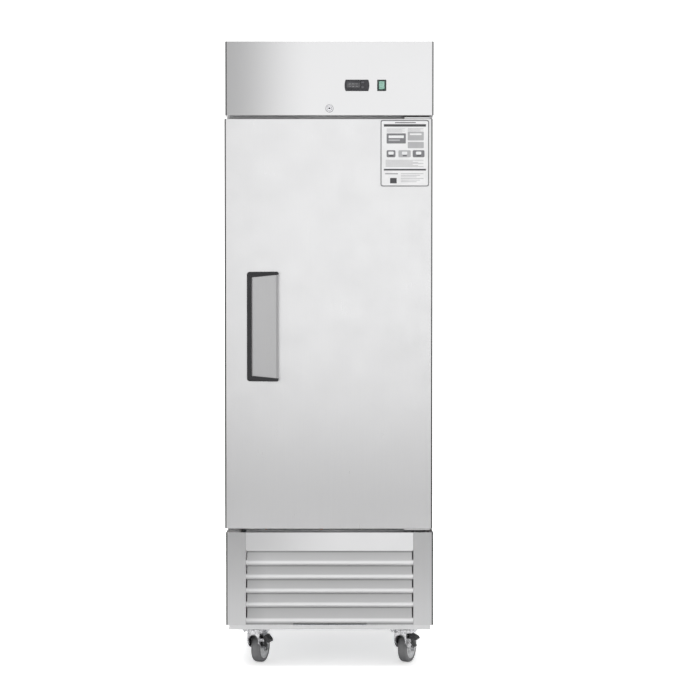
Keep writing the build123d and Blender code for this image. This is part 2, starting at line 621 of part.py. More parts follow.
# ================================================================= door
SEAL_X0, SEAL_X1 = DOOR_X0 + SEAL_INSET, DOOR_X1 - SEAL_INSET
SEAL_Z0, SEAL_Z1 = DOOR_Z0 + SEAL_INSET, DOOR_Z1 - SEAL_INSET
CAM_SLOT_LOW = (-CAM_W / 2 - 3, CAM_Y0 - 3, DOOR_Z1 - 16)
CAM_SLOT_HIGH = (CAM_REACH - 8, CAM_Y1 + 3, DOOR_Z1 + 1)
PIN_HOLE_DEPTH = 26.0

with BuildPart() as door_skin:
    block((DOOR_X0, FRONT_Y, DOOR_Z0), (DOOR_X1, DOOR_BACK_Y, DOOR_Z1))
    fillet(door_skin.edges().filter_by(Axis.Z).group_by(Axis.Y)[0], radius=3)
    fillet(door_skin.edges().group_by(Axis.Y)[0], radius=1.5)
    block(
        (DOOR_X0 + SKIN, FRONT_Y + SKIN, DOOR_Z0 + SKIN),
        (DOOR_X1 - SKIN, DOOR_BACK_Y + 1, DOOR_Z1 - SKIN),
        Mode.SUBTRACT,
    )
    block(CAM_SLOT_LOW, CAM_SLOT_HIGH, Mode.SUBTRACT)
    for z in (DOOR_Z0, DOOR_Z1):
        rod((HINGE_X, HINGE_Y, z), BUSH_R, 10, "Z", Mode.SUBTRACT)
save(door_skin, "door_skin")

with BuildPart() as door_foam:
    block(
        (DOOR_X0 + SKIN, FRONT_Y + SKIN, DOOR_Z0 + SKIN),
        (DOOR_X1 - SKIN, DOOR_BACK_Y, DOOR_Z1 - SKIN),
    )
    block(CAM_SLOT_LOW, CAM_SLOT_HIGH, Mode.SUBTRACT)
    for z in (DOOR_Z0, DOOR_Z1):
        rod((HINGE_X, HINGE_Y, z), BUSH_R, 2 * PIN_HOLE_DEPTH, "Z", Mode.SUBTRACT)
save(door_foam, "door_foam")

DOOR_MID_X, DOOR_MID_Z = (DOOR_X0 + DOOR_X1) / 2, (DOOR_Z0 + DOOR_Z1) / 2
with BuildPart() as door_liner:
    with BuildSketch(Plane.XZ.offset(-DOOR_BACK_Y)):
        with Locations((DOOR_MID_X, DOOR_MID_Z)):
            RectangleRounded(DOOR_X1 - DOOR_X0, DOOR_Z1 - DOOR_Z0, 4)
    extrude(amount=-2)
    with BuildSketch(Plane.XZ.offset(-DOOR_BACK_Y - 2)):
        with Locations((DOOR_MID_X, DOOR_MID_Z)):
            RectangleRounded(
                SEAL_X1 - SEAL_X0 - 2 * SEAL_W - 24, SEAL_Z1 - SEAL_Z0 - 2 * SEAL_W - 24, 14
            )
    extrude(amount=-6, taper=30)
save(door_liner, "door_liner")

with BuildPart() as door_gasket:
    with BuildSketch(Plane.XZ.offset(-DOOR_BACK_Y - 2)):
        with Locations(((SEAL_X0 + SEAL_X1) / 2, DOOR_MID_Z)):
            RectangleRounded(SEAL_X1 - SEAL_X0, SEAL_Z1 - SEAL_Z0, 3)
            RectangleRounded(
                SEAL_X1 - SEAL_X0 - 2 * SEAL_W, SEAL_Z1 - SEAL_Z0 - 2 * SEAL_W, 3, mode=Mode.SUBTRACT
            )
    extrude(amount=-4)
    with BuildSketch(Plane.XZ.offset(-DOOR_BACK_Y - 6)):
        with Locations(((SEAL_X0 + SEAL_X1) / 2, DOOR_MID_Z)):
            RectangleRounded(SEAL_X1 - SEAL_X0 - 4, SEAL_Z1 - SEAL_Z0 - 4, 3)
            RectangleRounded(
                SEAL_X1 - SEAL_X0 - 2 * SEAL_W + 6,
                SEAL_Z1 - SEAL_Z0 - 2 * SEAL_W + 6,
                3,
                mode=Mode.SUBTRACT,
            )
    extrude(amount=-(SEAL_Y - DOOR_BACK_Y - 6))
save(door_gasket, "door_gasket")

LABEL_X0, LABEL_X1, LABEL_Z0, LABEL_Z1 = 168.0, 331.0, 1603.0, 1825.0
with BuildPart() as info_label:
    with BuildSketch(Plane.XZ.offset(-FRONT_Y)):
        with Locations(((LABEL_X0 + LABEL_X1) / 2, (LABEL_Z0 + LABEL_Z1) / 2)):
            RectangleRounded(LABEL_X1 - LABEL_X0, LABEL_Z1 - LABEL_Z0, 8)
    extrude(amount=0.3)
save(info_label, "info_label")

# C-shaped pull: moulded bar and tapered end caps, carrying a folded stainless plate.
CAP_ROOT, CAP_TIP = 18.0, 10.0
HANDLE_CORNER_R, HANDLE_TIP_R = 9.0, 3.5
PLATE_X0, PLATE_X1 = HANDLE_X0 + BAR_W, HANDLE_X1
PLATE_Y0, PLATE_Y1, PLATE_T = -374.0, -396.0, 2.0
with BuildPart() as handle_frame:
    block((HANDLE_X0, -380, HANDLE_Z0), (HANDLE_X0 + BAR_W, FRONT_Y, HANDLE_Z1))
    with BuildSketch(Plane.XZ.offset(-FRONT_Y)):
        for z, way in ((HANDLE_Z0, 1), (HANDLE_Z1, -1)):
            with BuildLine():
                Polyline(
                    (PLATE_X0, z),
                    (PLATE_X1, z),
                    (PLATE_X1, z + way * CAP_TIP),
                    (PLATE_X0, z + way * CAP_ROOT),
                    close=True,
                )
            make_face()
    extrude(amount=FRONT_Y - HANDLE_FRONT)
    with BuildSketch(Plane.XY.offset(HANDLE_Z0 - 1)):
        with BuildLine():
            Polyline(
                (HANDLE_X0 - 1, HANDLE_FRONT - 1),
                (HANDLE_X0 - 1, -376),
                (HANDLE_X0 + BAR_W, PLATE_Y0 - 6),
                (PLATE_X1 - 8, HANDLE_FRONT),
                (PLATE_X1, HANDLE_FRONT - 1),
                close=True,
            )
        make_face()
    extrude(amount=HANDLE_Z1 - HANDLE_Z0 + 2, mode=Mode.SUBTRACT)
    outer_corners = handle_frame.edges().filter_by(Axis.Y).group_by(Axis.X)[0]
    fillet(outer_corners, radius=HANDLE_CORNER_R)
    cap_tips = handle_frame.edges().filter_by(Axis.Y).group_by(Axis.X)[-1]
    fillet(cap_tips, radius=HANDLE_TIP_R)
save(handle_frame, "handle_frame")

with BuildPart() as handle_plate:
    with BuildSketch(Plane.XY.offset(HANDLE_Z0)):
        with BuildLine():
            Polyline(
                (PLATE_X0 + FIT, FRONT_Y - 1),
                (PLATE_X0 + FIT, PLATE_Y0),
                (PLATE_X1 - 7, PLATE_Y1),
                (PLATE_X1 - 1, PLATE_Y1 + 4),
                (PLATE_X1 - 4, PLATE_Y1 + 10),
            )
            offset(amount=PLATE_T, side=Side.LEFT)
        make_face()
    extrude(amount=HANDLE_Z1 - HANDLE_Z0)
    with BuildSketch(Plane.XZ.offset(-FRONT_Y)):
        for z, way in ((HANDLE_Z0, 1), (HANDLE_Z1, -1)):
            with BuildLine():
                Polyline(
                    (PLATE_X0 - 1, z - way),
                    (PLATE_X1 + 1, z - way),
                    (PLATE_X1 + 1, z + way * (CAP_TIP + FIT)),
                    (PLATE_X0 - 1, z + way * (CAP_ROOT + FIT)),
                    close=True,
                )
            make_face()
    extrude(amount=FRONT_Y - HANDLE_FRONT + 1, mode=Mode.SUBTRACT)
save(handle_plate, "handle_plate")

with BuildPart() as hinge_bushes:
    for z, way in ((DOOR_Z0, 1), (DOOR_Z1, -1)):
        rod((HINGE_X, HINGE_Y, z + way * BUSH_LEN / 2), BUSH_R, BUSH_LEN)
        rod((HINGE_X, HINGE_Y, z - way * 0.8), BUSH_FLANGE_R, 1.6)
        rod((HINGE_X, HINGE_Y, z), HINGE_PIN_R + RUN_FIT, 2 * BUSH_LEN + 4, "Z", Mode.SUBTRACT)
save(hinge_bushes, "hinge_bushes")

LEAF_GAP, LEAF_DROP = 2.0, 60.0
with BuildPart() as hinge_brackets:
    for door_z, way in ((DOOR_Z0, -1), (DOOR_Z1, 1)):
        near = door_z + way * LEAF_GAP
        far = near + way * LEAF_T
        end = far + way * LEAF_DROP
        block((LEAF_X0, -346, min(near, far)), (LEAF_X1, FACE_Y, max(near, far)))
        block((LEAF_X0, FACE_Y - 4, min(near, end)), (LEAF_X1, FACE_Y, max(near, end)))
        rod((HINGE_X, HINGE_Y, near - way * 9), HINGE_PIN_R, 18.2)
save(hinge_brackets, "hinge_brackets")

# ================================================================= casters
# Each caster is shaped about its own swivel axis, then turned and moved to its corner.
CASTERS = {
    "front_left": (-CASTER_X, CASTER_YS[0], -19.0),
    "front_right": (CASTER_X, CASTER_YS[0], -24.0),
    "rear_left": (-CASTER_X, CASTER_YS[1], 14.0),
    "rear_right": (CASTER_X, CASTER_YS[1], -11.0),
}
PLATE_TOP_T, RACE_Z, HEAD_Z0 = 5.0, 116.0, 108.0
CROWN_Z, KING_HEAD_Z = 104.0, 98.0
SKIRT_Y, ARCH_Z, ARCH_R = -28.0, 84.0, 18.0    # front skirt of a fork and the arch cut in it

with BuildPart() as caster_plates:
    for x, y, _ in CASTERS.values():
        with BuildSketch(Plane.XY.offset(RAIL_Z - PLATE_TOP_T)):
            with Locations((x, y)):
                RectangleRounded(95, 76, 6)
                with GridLocations(76, 56, 2, 2):
                    SlotOverall(13, 9, mode=Mode.SUBTRACT)
        extrude(amount=PLATE_TOP_T)
        rod((x, y, (RACE_Z + RAIL_Z - PLATE_TOP_T) / 2), 27, RAIL_Z - PLATE_TOP_T - RACE_Z)
        rod((x, y, (KING_HEAD_Z + RACE_Z) / 2), KING_R, RACE_Z - KING_HEAD_Z)
        rod((x, y, KING_HEAD_Z + 2.7), 9, 5.4)
save(caster_plates, "caster_plates")


def caster_place(corner):
    """Location of a caster's swivel axis, turned by its rest angle."""
    x, y, turn = CASTERS[corner]
    return Location((x, y, 0), (0, 0, turn))


def place(builder, corner, name):
    """Move a caster piece to its corner and write its file."""
    moved = caster_place(corner) * builder.part
    moved.label = name
    export_step(moved, f"parts/{name}.step")


with BuildPart() as fork:
    rod((0, 0, (HEAD_Z0 + RACE_Z - FIT) / 2), 31, RACE_Z - FIT - HEAD_Z0)
    block((-FORK_IN - FORK_T, SKIRT_Y, CROWN_Z), (FORK_IN + FORK_T, 44, HEAD_Z0))
    with BuildSketch(Plane.YZ):
        with BuildLine():
            Polyline((SKIRT_Y, HEAD_Z0), (44, HEAD_Z0), (48, TRAIL + 18), (48, WHEEL_R))
            ThreePointArc((48, WHEEL_R), (TRAIL, WHEEL_R - 13), (TRAIL - 13, WHEEL_R))
            Polyline((TRAIL - 13, WHEEL_R), (-12, 60), (SKIRT_Y, 76), (SKIRT_Y, HEAD_Z0))
        make_face()
    extrude(amount=FORK_IN + FORK_T, both=True)
    block((-FORK_IN, -24, 0), (FORK_IN, 60, CROWN_Z), Mode.SUBTRACT)
    rod((0, SKIRT_Y, ARCH_Z), ARCH_R, 12, "Y", Mode.SUBTRACT)
    rod((0, TRAIL, WHEEL_R), AXLE_R, 2 * (FORK_IN + FORK_T), "X")
    for side in (-1, 1):
        with BuildSketch(Plane.YZ.offset(side * (FORK_IN + FORK_T))):
            with Locations((TRAIL, WHEEL_R)):
                RegularPolygon(10, 6)
        extrude(amount=side * 5)
    rod((0, 0, 108), KING_R + RUN_FIT, 40, "Z", Mode.SUBTRACT)

with BuildPart() as hub:
    with BuildSketch(Plane.XY):
        with BuildLine():
            Polyline(
                (AXLE_R + RUN_FIT, -18),
                (14, -18),
                (15, -12),
                (WHEEL_R - TREAD - 5, -12),
                (WHEEL_R - TREAD, -15),
                (WHEEL_R - TREAD, 15),
                (WHEEL_R - TREAD - 5, 12),
                (15, 12),
                (14, 18),
                (AXLE_R + RUN_FIT, 18),
                close=True,
            )
        make_face()
    revolve(axis=Axis.Y)

with BuildPart() as tyre:
    with BuildSketch(Plane.XY):
        with Locations((WHEEL_R - TREAD / 2, 0)):
            RectangleRounded(TREAD, WHEEL_W, 4)
    revolve(axis=Axis.Y)

# Front forks carry two lugs and a pin for the side-lock lever.
LEVER_X, LEVER_Y, LEVER_Z = FORK_IN + FORK_T + 6.5, 6.0, 84.0
LEVER_LEN, LUG_T, LEVER_PIN_R = 34.0, 2.5, 2.0
PEDAL_RAISED = 27.0
with BuildPart() as braked_fork:
    add(fork.part)
    for way in (-1, 1):
        edges = sorted((LEVER_Y + way * (LEVER_LEN / 2 + 0.5), LEVER_Y + way * (LEVER_LEN / 2 + LUG_T + 0.5)))
        block((FORK_IN + FORK_T, edges[0], LEVER_Z - 5), (LEVER_X + 4, edges[1], LEVER_Z + 5))
    rod((LEVER_X, LEVER_Y, LEVER_Z), LEVER_PIN_R, LEVER_LEN + 2 * LUG_T + 3, "Y")

WHEEL_SEAT = Location((0, TRAIL, WHEEL_R)) * Location((0, 0, 0), (0, 0, 90))
for corner in CASTERS:
    place(braked_fork if "front" in corner else fork, corner, f"fork_{corner}")
    for wheel_part, kind in ((hub, "hub"), (tyre, "tyre")):
        turned = caster_place(corner) * WHEEL_SEAT * wheel_part.part
        turned.label = f"{kind}_{corner}"
        export_step(turned, f"parts/{kind}_{corner}.step")

# Side-lock levers: a strap hinged on the outer fork leg, with a foot pedal.
with BuildPart() as lever:
    rod((LEVER_X, LEVER_Y, LEVER_Z), 5, LEVER_LEN, "Y")
    block((LEVER_X - 3, -9, 66), (LEVER_X + 1, 21, LEVER_Z))
    with BuildSketch(Plane.XZ.offset(-21)):
        with BuildLine():
            Polyline(
                (LEVER_X - 3, 90),
                (LEVER_X + 2, 99),
                (LEVER_X + 9, 102),
                (LEVER_X + 22, 86),
                (LEVER_X + 24, 78),
                (LEVER_X + 19, 75),
                (LEVER_X + 7, 82),
                (LEVER_X - 3, 80),
                close=True,
            )
        make_face()
    extrude(amount=30)
    rod((LEVER_X, LEVER_Y, LEVER_Z), LEVER_PIN_R + RUN_FIT, LEVER_LEN + 2, "Y", Mode.SUBTRACT)

LEVER_AXIS = Axis((LEVER_X, 0, LEVER_Z), (0, 1, 0))
for corner, raised in (("front_left", 0), ("front_right", -PEDAL_RAISED)):
    swung = caster_place(corner) * lever.part.rotate(LEVER_AXIS, raised)
    swung.label = f"brake_{corner}"
    export_step(swung, f"parts/brake_{corner}.step")
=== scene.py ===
import bpy, bmesh, json, math
from mathutils import Matrix, Vector


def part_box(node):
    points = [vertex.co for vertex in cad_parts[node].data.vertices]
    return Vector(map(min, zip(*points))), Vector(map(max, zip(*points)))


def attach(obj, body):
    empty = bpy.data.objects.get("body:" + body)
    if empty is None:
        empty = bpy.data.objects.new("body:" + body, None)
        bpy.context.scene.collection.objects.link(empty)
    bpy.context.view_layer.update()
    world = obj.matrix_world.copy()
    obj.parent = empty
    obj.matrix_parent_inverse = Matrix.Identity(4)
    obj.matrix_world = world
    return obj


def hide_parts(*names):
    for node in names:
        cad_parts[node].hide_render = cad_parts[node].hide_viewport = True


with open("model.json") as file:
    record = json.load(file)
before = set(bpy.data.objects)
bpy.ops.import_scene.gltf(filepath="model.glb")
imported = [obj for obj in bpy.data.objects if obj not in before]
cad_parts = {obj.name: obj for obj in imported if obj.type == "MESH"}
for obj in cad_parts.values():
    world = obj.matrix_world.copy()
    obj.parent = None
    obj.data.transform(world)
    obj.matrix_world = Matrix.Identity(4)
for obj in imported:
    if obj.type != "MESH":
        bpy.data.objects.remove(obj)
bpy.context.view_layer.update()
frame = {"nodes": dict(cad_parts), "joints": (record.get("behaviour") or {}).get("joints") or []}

MM = 0.001
NODES = frame["nodes"]
JOINTS = {j["name"]: j for j in frame["joints"]}
scene = bpy.context.scene

# sheet features that the materials follow, in metres
FACE_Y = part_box("door_skin")[0].y    # common front plane of header, door and lower section
HALF_W = 0.345                       # half width of header, door and lower section
DOOR_MID = -0.003                    # middle of the door's width
CORNER_SIDE = (0.0058, 0.0036)       # a folded corner's painted dark reflection comes in between these, in from the side
CORNER_BACK = (0.0008, 0.0022)       # and fades out again between these, back from the front plane
LOUVER_PITCH = 0.0466                # spacing of the blades' noses
LOUVER_NOSE = 0.0043                 # half height of the painted highlight on each nose
LOUVER_CREASE = (0.0300, 0.0335)     # from a nose centre up to where the crease's painted shade starts and is darkest
LOUVER_LIP = 0.0350                  # from a nose centre up to the next blade's lip
LOUVER_DROP = 0.0236                 # height of the lowest evenly spaced nose above the blades' box
LAST_DROP = 0.0069                   # extra step down of the last nose


# ------------------------------------------------------------------ material helpers
def math_node(tree, kind, a, b=0.0):
    """Math node; a and b are numbers or outputs of other nodes."""
    node = tree.nodes.new("ShaderNodeMath")
    node.operation = kind
    for socket, value in zip(node.inputs, (a, b)):
        if isinstance(value, (int, float)):
            socket.default_value = value
        else:
            tree.links.new(value, socket)
    return node.outputs[0]


def span_node(tree, value, low, high, start, end, kind="LINEAR"):
    """Goes from low to high while the value goes from start to end, and is held beyond both."""
    node = tree.nodes.new("ShaderNodeMapRange")
    node.interpolation_type = kind
    for key, number in (("From Min", start), ("From Max", end), ("To Min", low), ("To Max", high)):
        node.inputs[key].default_value = number
    tree.links.new(value, node.inputs["Value"])
    return node.outputs["Result"]


class Mat:
    """A node material with a few shorthands for building procedural detail."""

    def __init__(self, name, colour, metallic=0.0, roughness=0.5, **sockets):
        self.m = bpy.data.materials.new(name)
        self.m.use_nodes = True
        self.t = self.m.node_tree
        self.bsdf = self.t.nodes["Principled BSDF"]
        self.bsdf.inputs["Base Color"].default_value = (*colour, 1)
        self.bsdf.inputs["Metallic"].default_value = metallic
        self.bsdf.inputs["Roughness"].default_value = roughness
        for key, value in sockets.items():
            self.bsdf.inputs[key.replace("_", " ")].default_value = value
        self.coord = self.t.nodes.new("ShaderNodeTexCoord").outputs["Object"]
        self.normal = None

    def link(self, a, b):
        self.t.links.new(a, b)

    def mapped(self, scale):
        """Object coordinates scaled along each axis."""
        node = self.t.nodes.new("ShaderNodeMapping")
        node.inputs["Scale"].default_value = scale
        self.link(self.coord, node.inputs["Vector"])
        return node.outputs["Vector"]

    def noise(self, scale, stretch=(1, 1, 1), detail=4.0, rough=0.55):
        node = self.t.nodes.new("ShaderNodeTexNoise")
        node.inputs["Scale"].default_value = scale
        node.inputs["Detail"].default_value = detail
        node.inputs["Roughness"].default_value = rough
        self.link(self.mapped(stretch), node.inputs["Vector"])
        return node.outputs["Fac"]

    def voronoi(self, scale):
        node = self.t.nodes.new("ShaderNodeTexVoronoi")
        node.inputs["Scale"].default_value = scale
        self.link(self.coord, node.inputs["Vector"])
        return node.outputs["Distance"]

    def wave(self, scale, direction):
        node = self.t.nodes.new("ShaderNodeTexWave")
        node.bands_direction = direction
        node.inputs["Scale"].default_value = scale
        self.link(self.coord, node.inputs["Vector"])
        return node.outputs["Fac"]

    def span(self, value, low, high, start=0.0, end=1.0):
        return span_node(self.t, value, low, high, start, end)

    def math(self, kind, a, b=0.0):
        return math_node(self.t, kind, a, b)

    def mix(self, fac, a, b):
        node = self.t.nodes.new("ShaderNodeMix")
        node.data_type = "RGBA"
        for socket, value in ((node.inputs[0], fac), (node.inputs[6], a), (node.inputs[7], b)):
            if isinstance(value, tuple):
                socket.default_value = (*value, 1)
            elif isinstance(value, (int, float)):
                socket.default_value = value
            else:
                self.link(value, socket)
        return node.outputs[2]

    def paint(self, output):
        self.link(output, self.bsdf.inputs["Base Color"])

    def rough(self, output):
        self.link(output, self.bsdf.inputs["Roughness"])

    def bump(self, height, strength, distance=0.001):
        """Relief from a height, on top of the bumps made before it."""
        node = self.t.nodes.new("ShaderNodeBump")
        node.inputs["Strength"].default_value = strength
        node.inputs["Distance"].default_value = distance
        self.link(height, node.inputs["Height"])
        if self.normal is not None:
            self.link(self.normal, node.inputs["Normal"])
        self.normal = node.outputs["Normal"]
        self.link(self.normal, self.bsdf.inputs["Normal"])

    def axis(self, name):
        node = self.t.nodes.new("ShaderNodeSeparateXYZ")
        self.link(self.coord, node.inputs["Vector"])
        return node.outputs[name]

    def lean(self, axis, start, slope):
        """Sheet that bends away more and more beyond a coordinate, by up to a slope per metre."""
        offset = self.math("SUBTRACT", self.axis(axis), start)
        beyond = self.math("MINIMUM" if slope < 0 else "MAXIMUM", offset)
        height = self.math("MULTIPLY", self.math("MULTIPLY", beyond, beyond), -abs(slope) / 2)
        self.bump(height, 1.0, 1.0)

    def tip(self, axis, slope):
        """Sheet that faces a little along an axis."""
        self.bump(self.math("MULTIPLY", self.axis(axis), -slope), 1.0, 1.0)


def shade(colour, k):
    return tuple(min(1.0, c * k) for c in colour)


def brushed(name, colour, roughness=0.3, grain="Z", depth=0.012, spread=0.022, leans=(), tips=(),
            edge=None, uneven=0.02):
    """Satin-polished sheet: fine grain along one axis, faint clouding, handling smudges.

    depth is the grain's relief, spread its tone and uneven its gloss; leans and tips bend the sheet;
    edge gives the middle and half width of a front whose folded corners get a painted dark reflection.
    """
    m = Mat(name, colour, 1.0, roughness, Anisotropic=0.45)
    for along, start, slope in leans:
        m.lean(along, start, slope)
    for along, slope in tips:
        m.tip(along, slope)
    stretch = {"X": (0.02, 1, 1), "Y": (1, 0.02, 1), "Z": (1, 1, 0.02)}[grain]
    fine = m.noise(1500, stretch, 3)
    broad = m.noise(260, stretch, 2)
    cloud = m.noise(2.6, detail=5)
    smudge = m.noise(9, detail=6, rough=0.65)
    grainy = m.math("ADD", m.math("MULTIPLY", fine, 0.6), m.math("MULTIPLY", broad, 0.4))
    tone = m.mix(m.span(grainy, 0, 1, 0.3, 0.7), shade(colour, 1 - spread), shade(colour, 1 + spread * 0.6))
    tone = m.mix(m.span(cloud, 0, 0.35, 0.35, 0.75), tone, shade(colour, 0.965))
    # painted dark reflection: the folded corners at both sides of the front are darkened
    if edge:
        middle, half = edge
        away = m.math("ABSOLUTE", m.math("SUBTRACT", m.axis("X"), middle))
        corner = m.math("MULTIPLY", m.span(away, 0, 1, half - CORNER_SIDE[0], half - CORNER_SIDE[1]),
                        m.span(m.axis("Y"), 1, 0, FACE_Y + CORNER_BACK[0], FACE_Y + CORNER_BACK[1]))
        tone = m.mix(corner, tone, shade(colour, 0.07))
    m.paint(tone)
    level = m.math("ADD", m.span(grainy, roughness - uneven, roughness + uneven, 0.3, 0.7),
                   m.span(smudge, -0.75 * uneven, 1.5 * uneven, 0.35, 0.8))
    m.rough(level)
    m.bump(grainy, depth, 0.0004)
    return m.m


def zinc_plated(name, colour, roughness=0.36, contrast=0.14, stain=0.55):
    """Bright zinc plate: faint spangle, handling marks and dark mottled patches from the same noise."""
    m = Mat(name, colour, 1.0, roughness)
    spangle = m.voronoi(160)
    wear = m.noise(45, detail=6, rough=0.7)
    dull, bright = shade(colour, 1 - contrast), shade(colour, 1 + contrast * 0.6)
    tone = m.mix(m.span(spangle, 0, 1, 0.1, 0.7), dull, bright)
    tone = m.mix(m.span(wear, 0, stain, 0.5, 0.7), tone, shade(colour, 0.4))
    m.paint(tone)
    m.rough(m.span(wear, roughness - 0.08, roughness + 0.16, 0.3, 0.75))
    m.bump(wear, 0.12, 0.0004)
    return m.m


def moulded(name, colour, roughness=0.5, grain=900, depth=0.18, scuff=0.25):
    """Moulded plastic: fine spark-eroded texture, uneven sheen and light scuffs."""
    m = Mat(name, colour, 0.0, roughness)
    cells = m.voronoi(grain)
    cloud = m.noise(14, detail=5)
    scratch = m.noise(240, (1, 0.06, 1), 4, 0.7)
    tone = m.mix(m.span(cloud, 0, 1, 0.3, 0.7), shade(colour, 0.86), shade(colour, 1.18))
    tone = m.mix(m.span(scratch, 0, scuff, 0.62, 0.78), tone, tuple(c * 0.5 + 0.16 for c in colour))
    m.paint(tone)
    m.rough(m.span(cloud, roughness - 0.07, roughness + 0.1, 0.3, 0.7))
    m.bump(cells, depth, 0.0003)
    return m.m


def painted(name, colour, roughness=0.42, depth=0.12):
    """Powder or enamel coat: orange peel, slight tone drift and rubbed spots."""
    m = Mat(name, colour, 0.0, roughness, Coat_Weight=0.15)
    peel = m.noise(420, detail=3)
    cloud = m.noise(5, detail=5)
    rubbed = m.noise(34, detail=7, rough=0.72)
    tone = m.mix(m.span(cloud, 0, 1, 0.3, 0.7), shade(colour, 0.93), shade(colour, 1.05))
    tone = m.mix(m.span(rubbed, 0, 0.35, 0.66, 0.82), tone, shade(colour, 0.7))
    m.paint(tone)
    m.rough(m.span(rubbed, roughness - 0.06, roughness + 0.12, 0.3, 0.75))
    m.bump(peel, depth, 0.0004)
    return m.m


def rubbery(name, colour, roughness=0.62):
    """Rubber: matt skin with fine pores, dust in patches and a mould sheen."""
    m = Mat(name, colour, 0.0, roughness)
    pores = m.voronoi(1100)
    dust = m.noise(28, detail=7, rough=0.7)
    tone = m.mix(m.span(dust, 0, 0.7, 0.48, 0.8), colour, tuple(c * 0.6 + 0.11 for c in colour))
    m.paint(tone)
    m.rough(m.span(dust, roughness - 0.1, roughness + 0.15, 0.3, 0.75))
    m.bump(pores, 0.2, 0.0003)
    return m.m


# ------------------------------------------------------------------ materials
STEEL = (0.70, 0.70, 0.705)
M = {
    "door": brushed("steel_door", STEEL, 0.30, "Z", leans=(("X", -0.16, -0.14),), edge=(DOOR_MID, HALF_W)),
    "header": brushed("steel_header", STEEL, 0.28, "X", depth=0.0, spread=0.003, leans=(("X", -0.06, -0.66),),
                      edge=(0.0, HALF_W), uneven=0.003),
    "side": brushed("steel_side", STEEL, 0.33, "Z"),
    "top": brushed("steel_top", STEEL, 0.33, "Y"),
    # painted shade: the lower pillars use a darker copy of the steel
    "lower": brushed("steel_lower", shade(STEEL, 0.77), 0.32, "Z", leans=(("X", -0.1, -0.95),),
                     edge=(0.0, HALF_W)),
    "leaf": brushed("steel_leaf", shade(STEEL, 0.9), 0.32, "Z"),
    # painted highlight: the fascia uses a lighter copy of the steel
    "fascia": brushed("steel_fascia", shade(STEEL, 1.1), 0.32, "X", depth=0.0012, spread=0.005,
                      leans=(("X", 0.05, -0.55),), tips=(("Z", 0.06),)),
    # painted shade: the base rails use a darker copy of the steel
    "rail": brushed("steel_rail", shade(STEEL, 0.9), 0.36, "X", depth=0.0012, spread=0.006,
                    tips=(("Z", 0.03),)),
    # painted highlight: the handle plate uses a slightly lighter copy of the steel
    "handle_plate": brushed("steel_handle", shade(STEEL, 1.04), 0.32, "Z"),
    "galv": zinc_plated("galvanised", (0.58, 0.60, 0.62), 0.42),
    "zinc": zinc_plated("zinc_plate", (0.56, 0.56, 0.575), 0.24, 0.4, 0.9),
    "white": painted("white_liner", (0.80, 0.81, 0.82), 0.36),
    "black": moulded("black_moulding", (0.022, 0.022, 0.024), 0.42),
    "charcoal": moulded("charcoal_moulding", (0.045, 0.045, 0.05), 0.5),
    "hub": moulded("grey_hub", (0.70, 0.705, 0.715), 0.42),
    "tread": rubbery("grey_tread", (0.19, 0.19, 0.195)),
    "gasket": rubbery("door_seal", (0.16, 0.16, 0.165)),
    "comp": painted("compressor_enamel", (0.02, 0.02, 0.022), 0.34),
    "motor": painted("motor_enamel", (0.16, 0.17, 0.18), 0.4),
    "coat": painted("shelf_coat", (0.82, 0.83, 0.84), 0.32),
    "nylon": moulded("nylon", (0.74, 0.74, 0.70), 0.45),
}


def louver_sheet():
    """Brushed blades: painted highlight on the noses, painted shade on the lips and in the crease under each
    lip.
    """
    m = Mat("steel_louver", STEEL, 1.0, 0.32, Anisotropic=0.45)
    grain = m.noise(900, (0.02, 1, 1), 3)
    stain = m.noise(14, (0.3, 1, 1), 6, 0.65)
    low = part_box("louver_blades")[0].z
    # height above a nose's centre, counted afresh at every blade
    height = m.math("ADD", m.axis("Z"), m.span(m.axis("Z"), LAST_DROP, 0.0, low + 0.025, low + 0.045))
    up = m.math("WRAP", m.math("SUBTRACT", height, low + LOUVER_DROP), LOUVER_PITCH - LOUVER_NOSE)
    up.node.inputs[2].default_value = -LOUVER_NOSE
    # painted shade: each blade's face greys upwards and goes dark in the crease just under the next blade's
    # lip, and the lip is greyer than the face
    face = m.math("MULTIPLY", m.span(up, 0.98, 0.84, 0.006, 0.029), m.span(up, 1.0, 0.42, *LOUVER_CREASE))
    lip = m.span(up, 0.60, 0.95, LOUVER_LIP, LOUVER_PITCH - LOUVER_NOSE)
    on_lip = m.span(up, 0.0, 1.0, LOUVER_LIP - MM, LOUVER_LIP)
    level = m.math("ADD", m.math("MULTIPLY", face, m.math("SUBTRACT", 1.0, on_lip)),
                   m.math("MULTIPLY", lip, on_lip))
    # painted highlight: a bright band along each nose
    level = m.math("MAXIMUM", level, m.span(up, 1.16, 0.0, 0.0038, 0.0052))
    # painted shade: greyer at the left end and on the lowest face
    left_end_shade = m.span(m.axis("X"), 0.84, 1.0, -0.275, -0.21)
    last_face_shade = m.math("ADD", m.span(m.axis("Z"), 1.0, 0.8, low + 0.022, low + 0.024),
                       m.span(m.axis("Z"), 0.0, 0.2, low + 0.056, low + 0.060))
    for factor in (m.span(stain, 0.985, 1.0, 0.3, 0.6), left_end_shade, last_face_shade):
        level = m.math("MULTIPLY", level, factor)
    # painted shade: the blades are a darker copy of the steel, which levels over 1 lighten for the nose
    # highlight
    m.paint(m.mix(level, (0.0, 0.0, 0.0), shade(STEEL, 0.9)))
    m.t.nodes[-1].clamp_factor = False
    m.rough(m.span(grain, 0.29, 0.35, 0.3, 0.7))
    m.bump(grain, 0.0015, 0.0004)
    return m.m


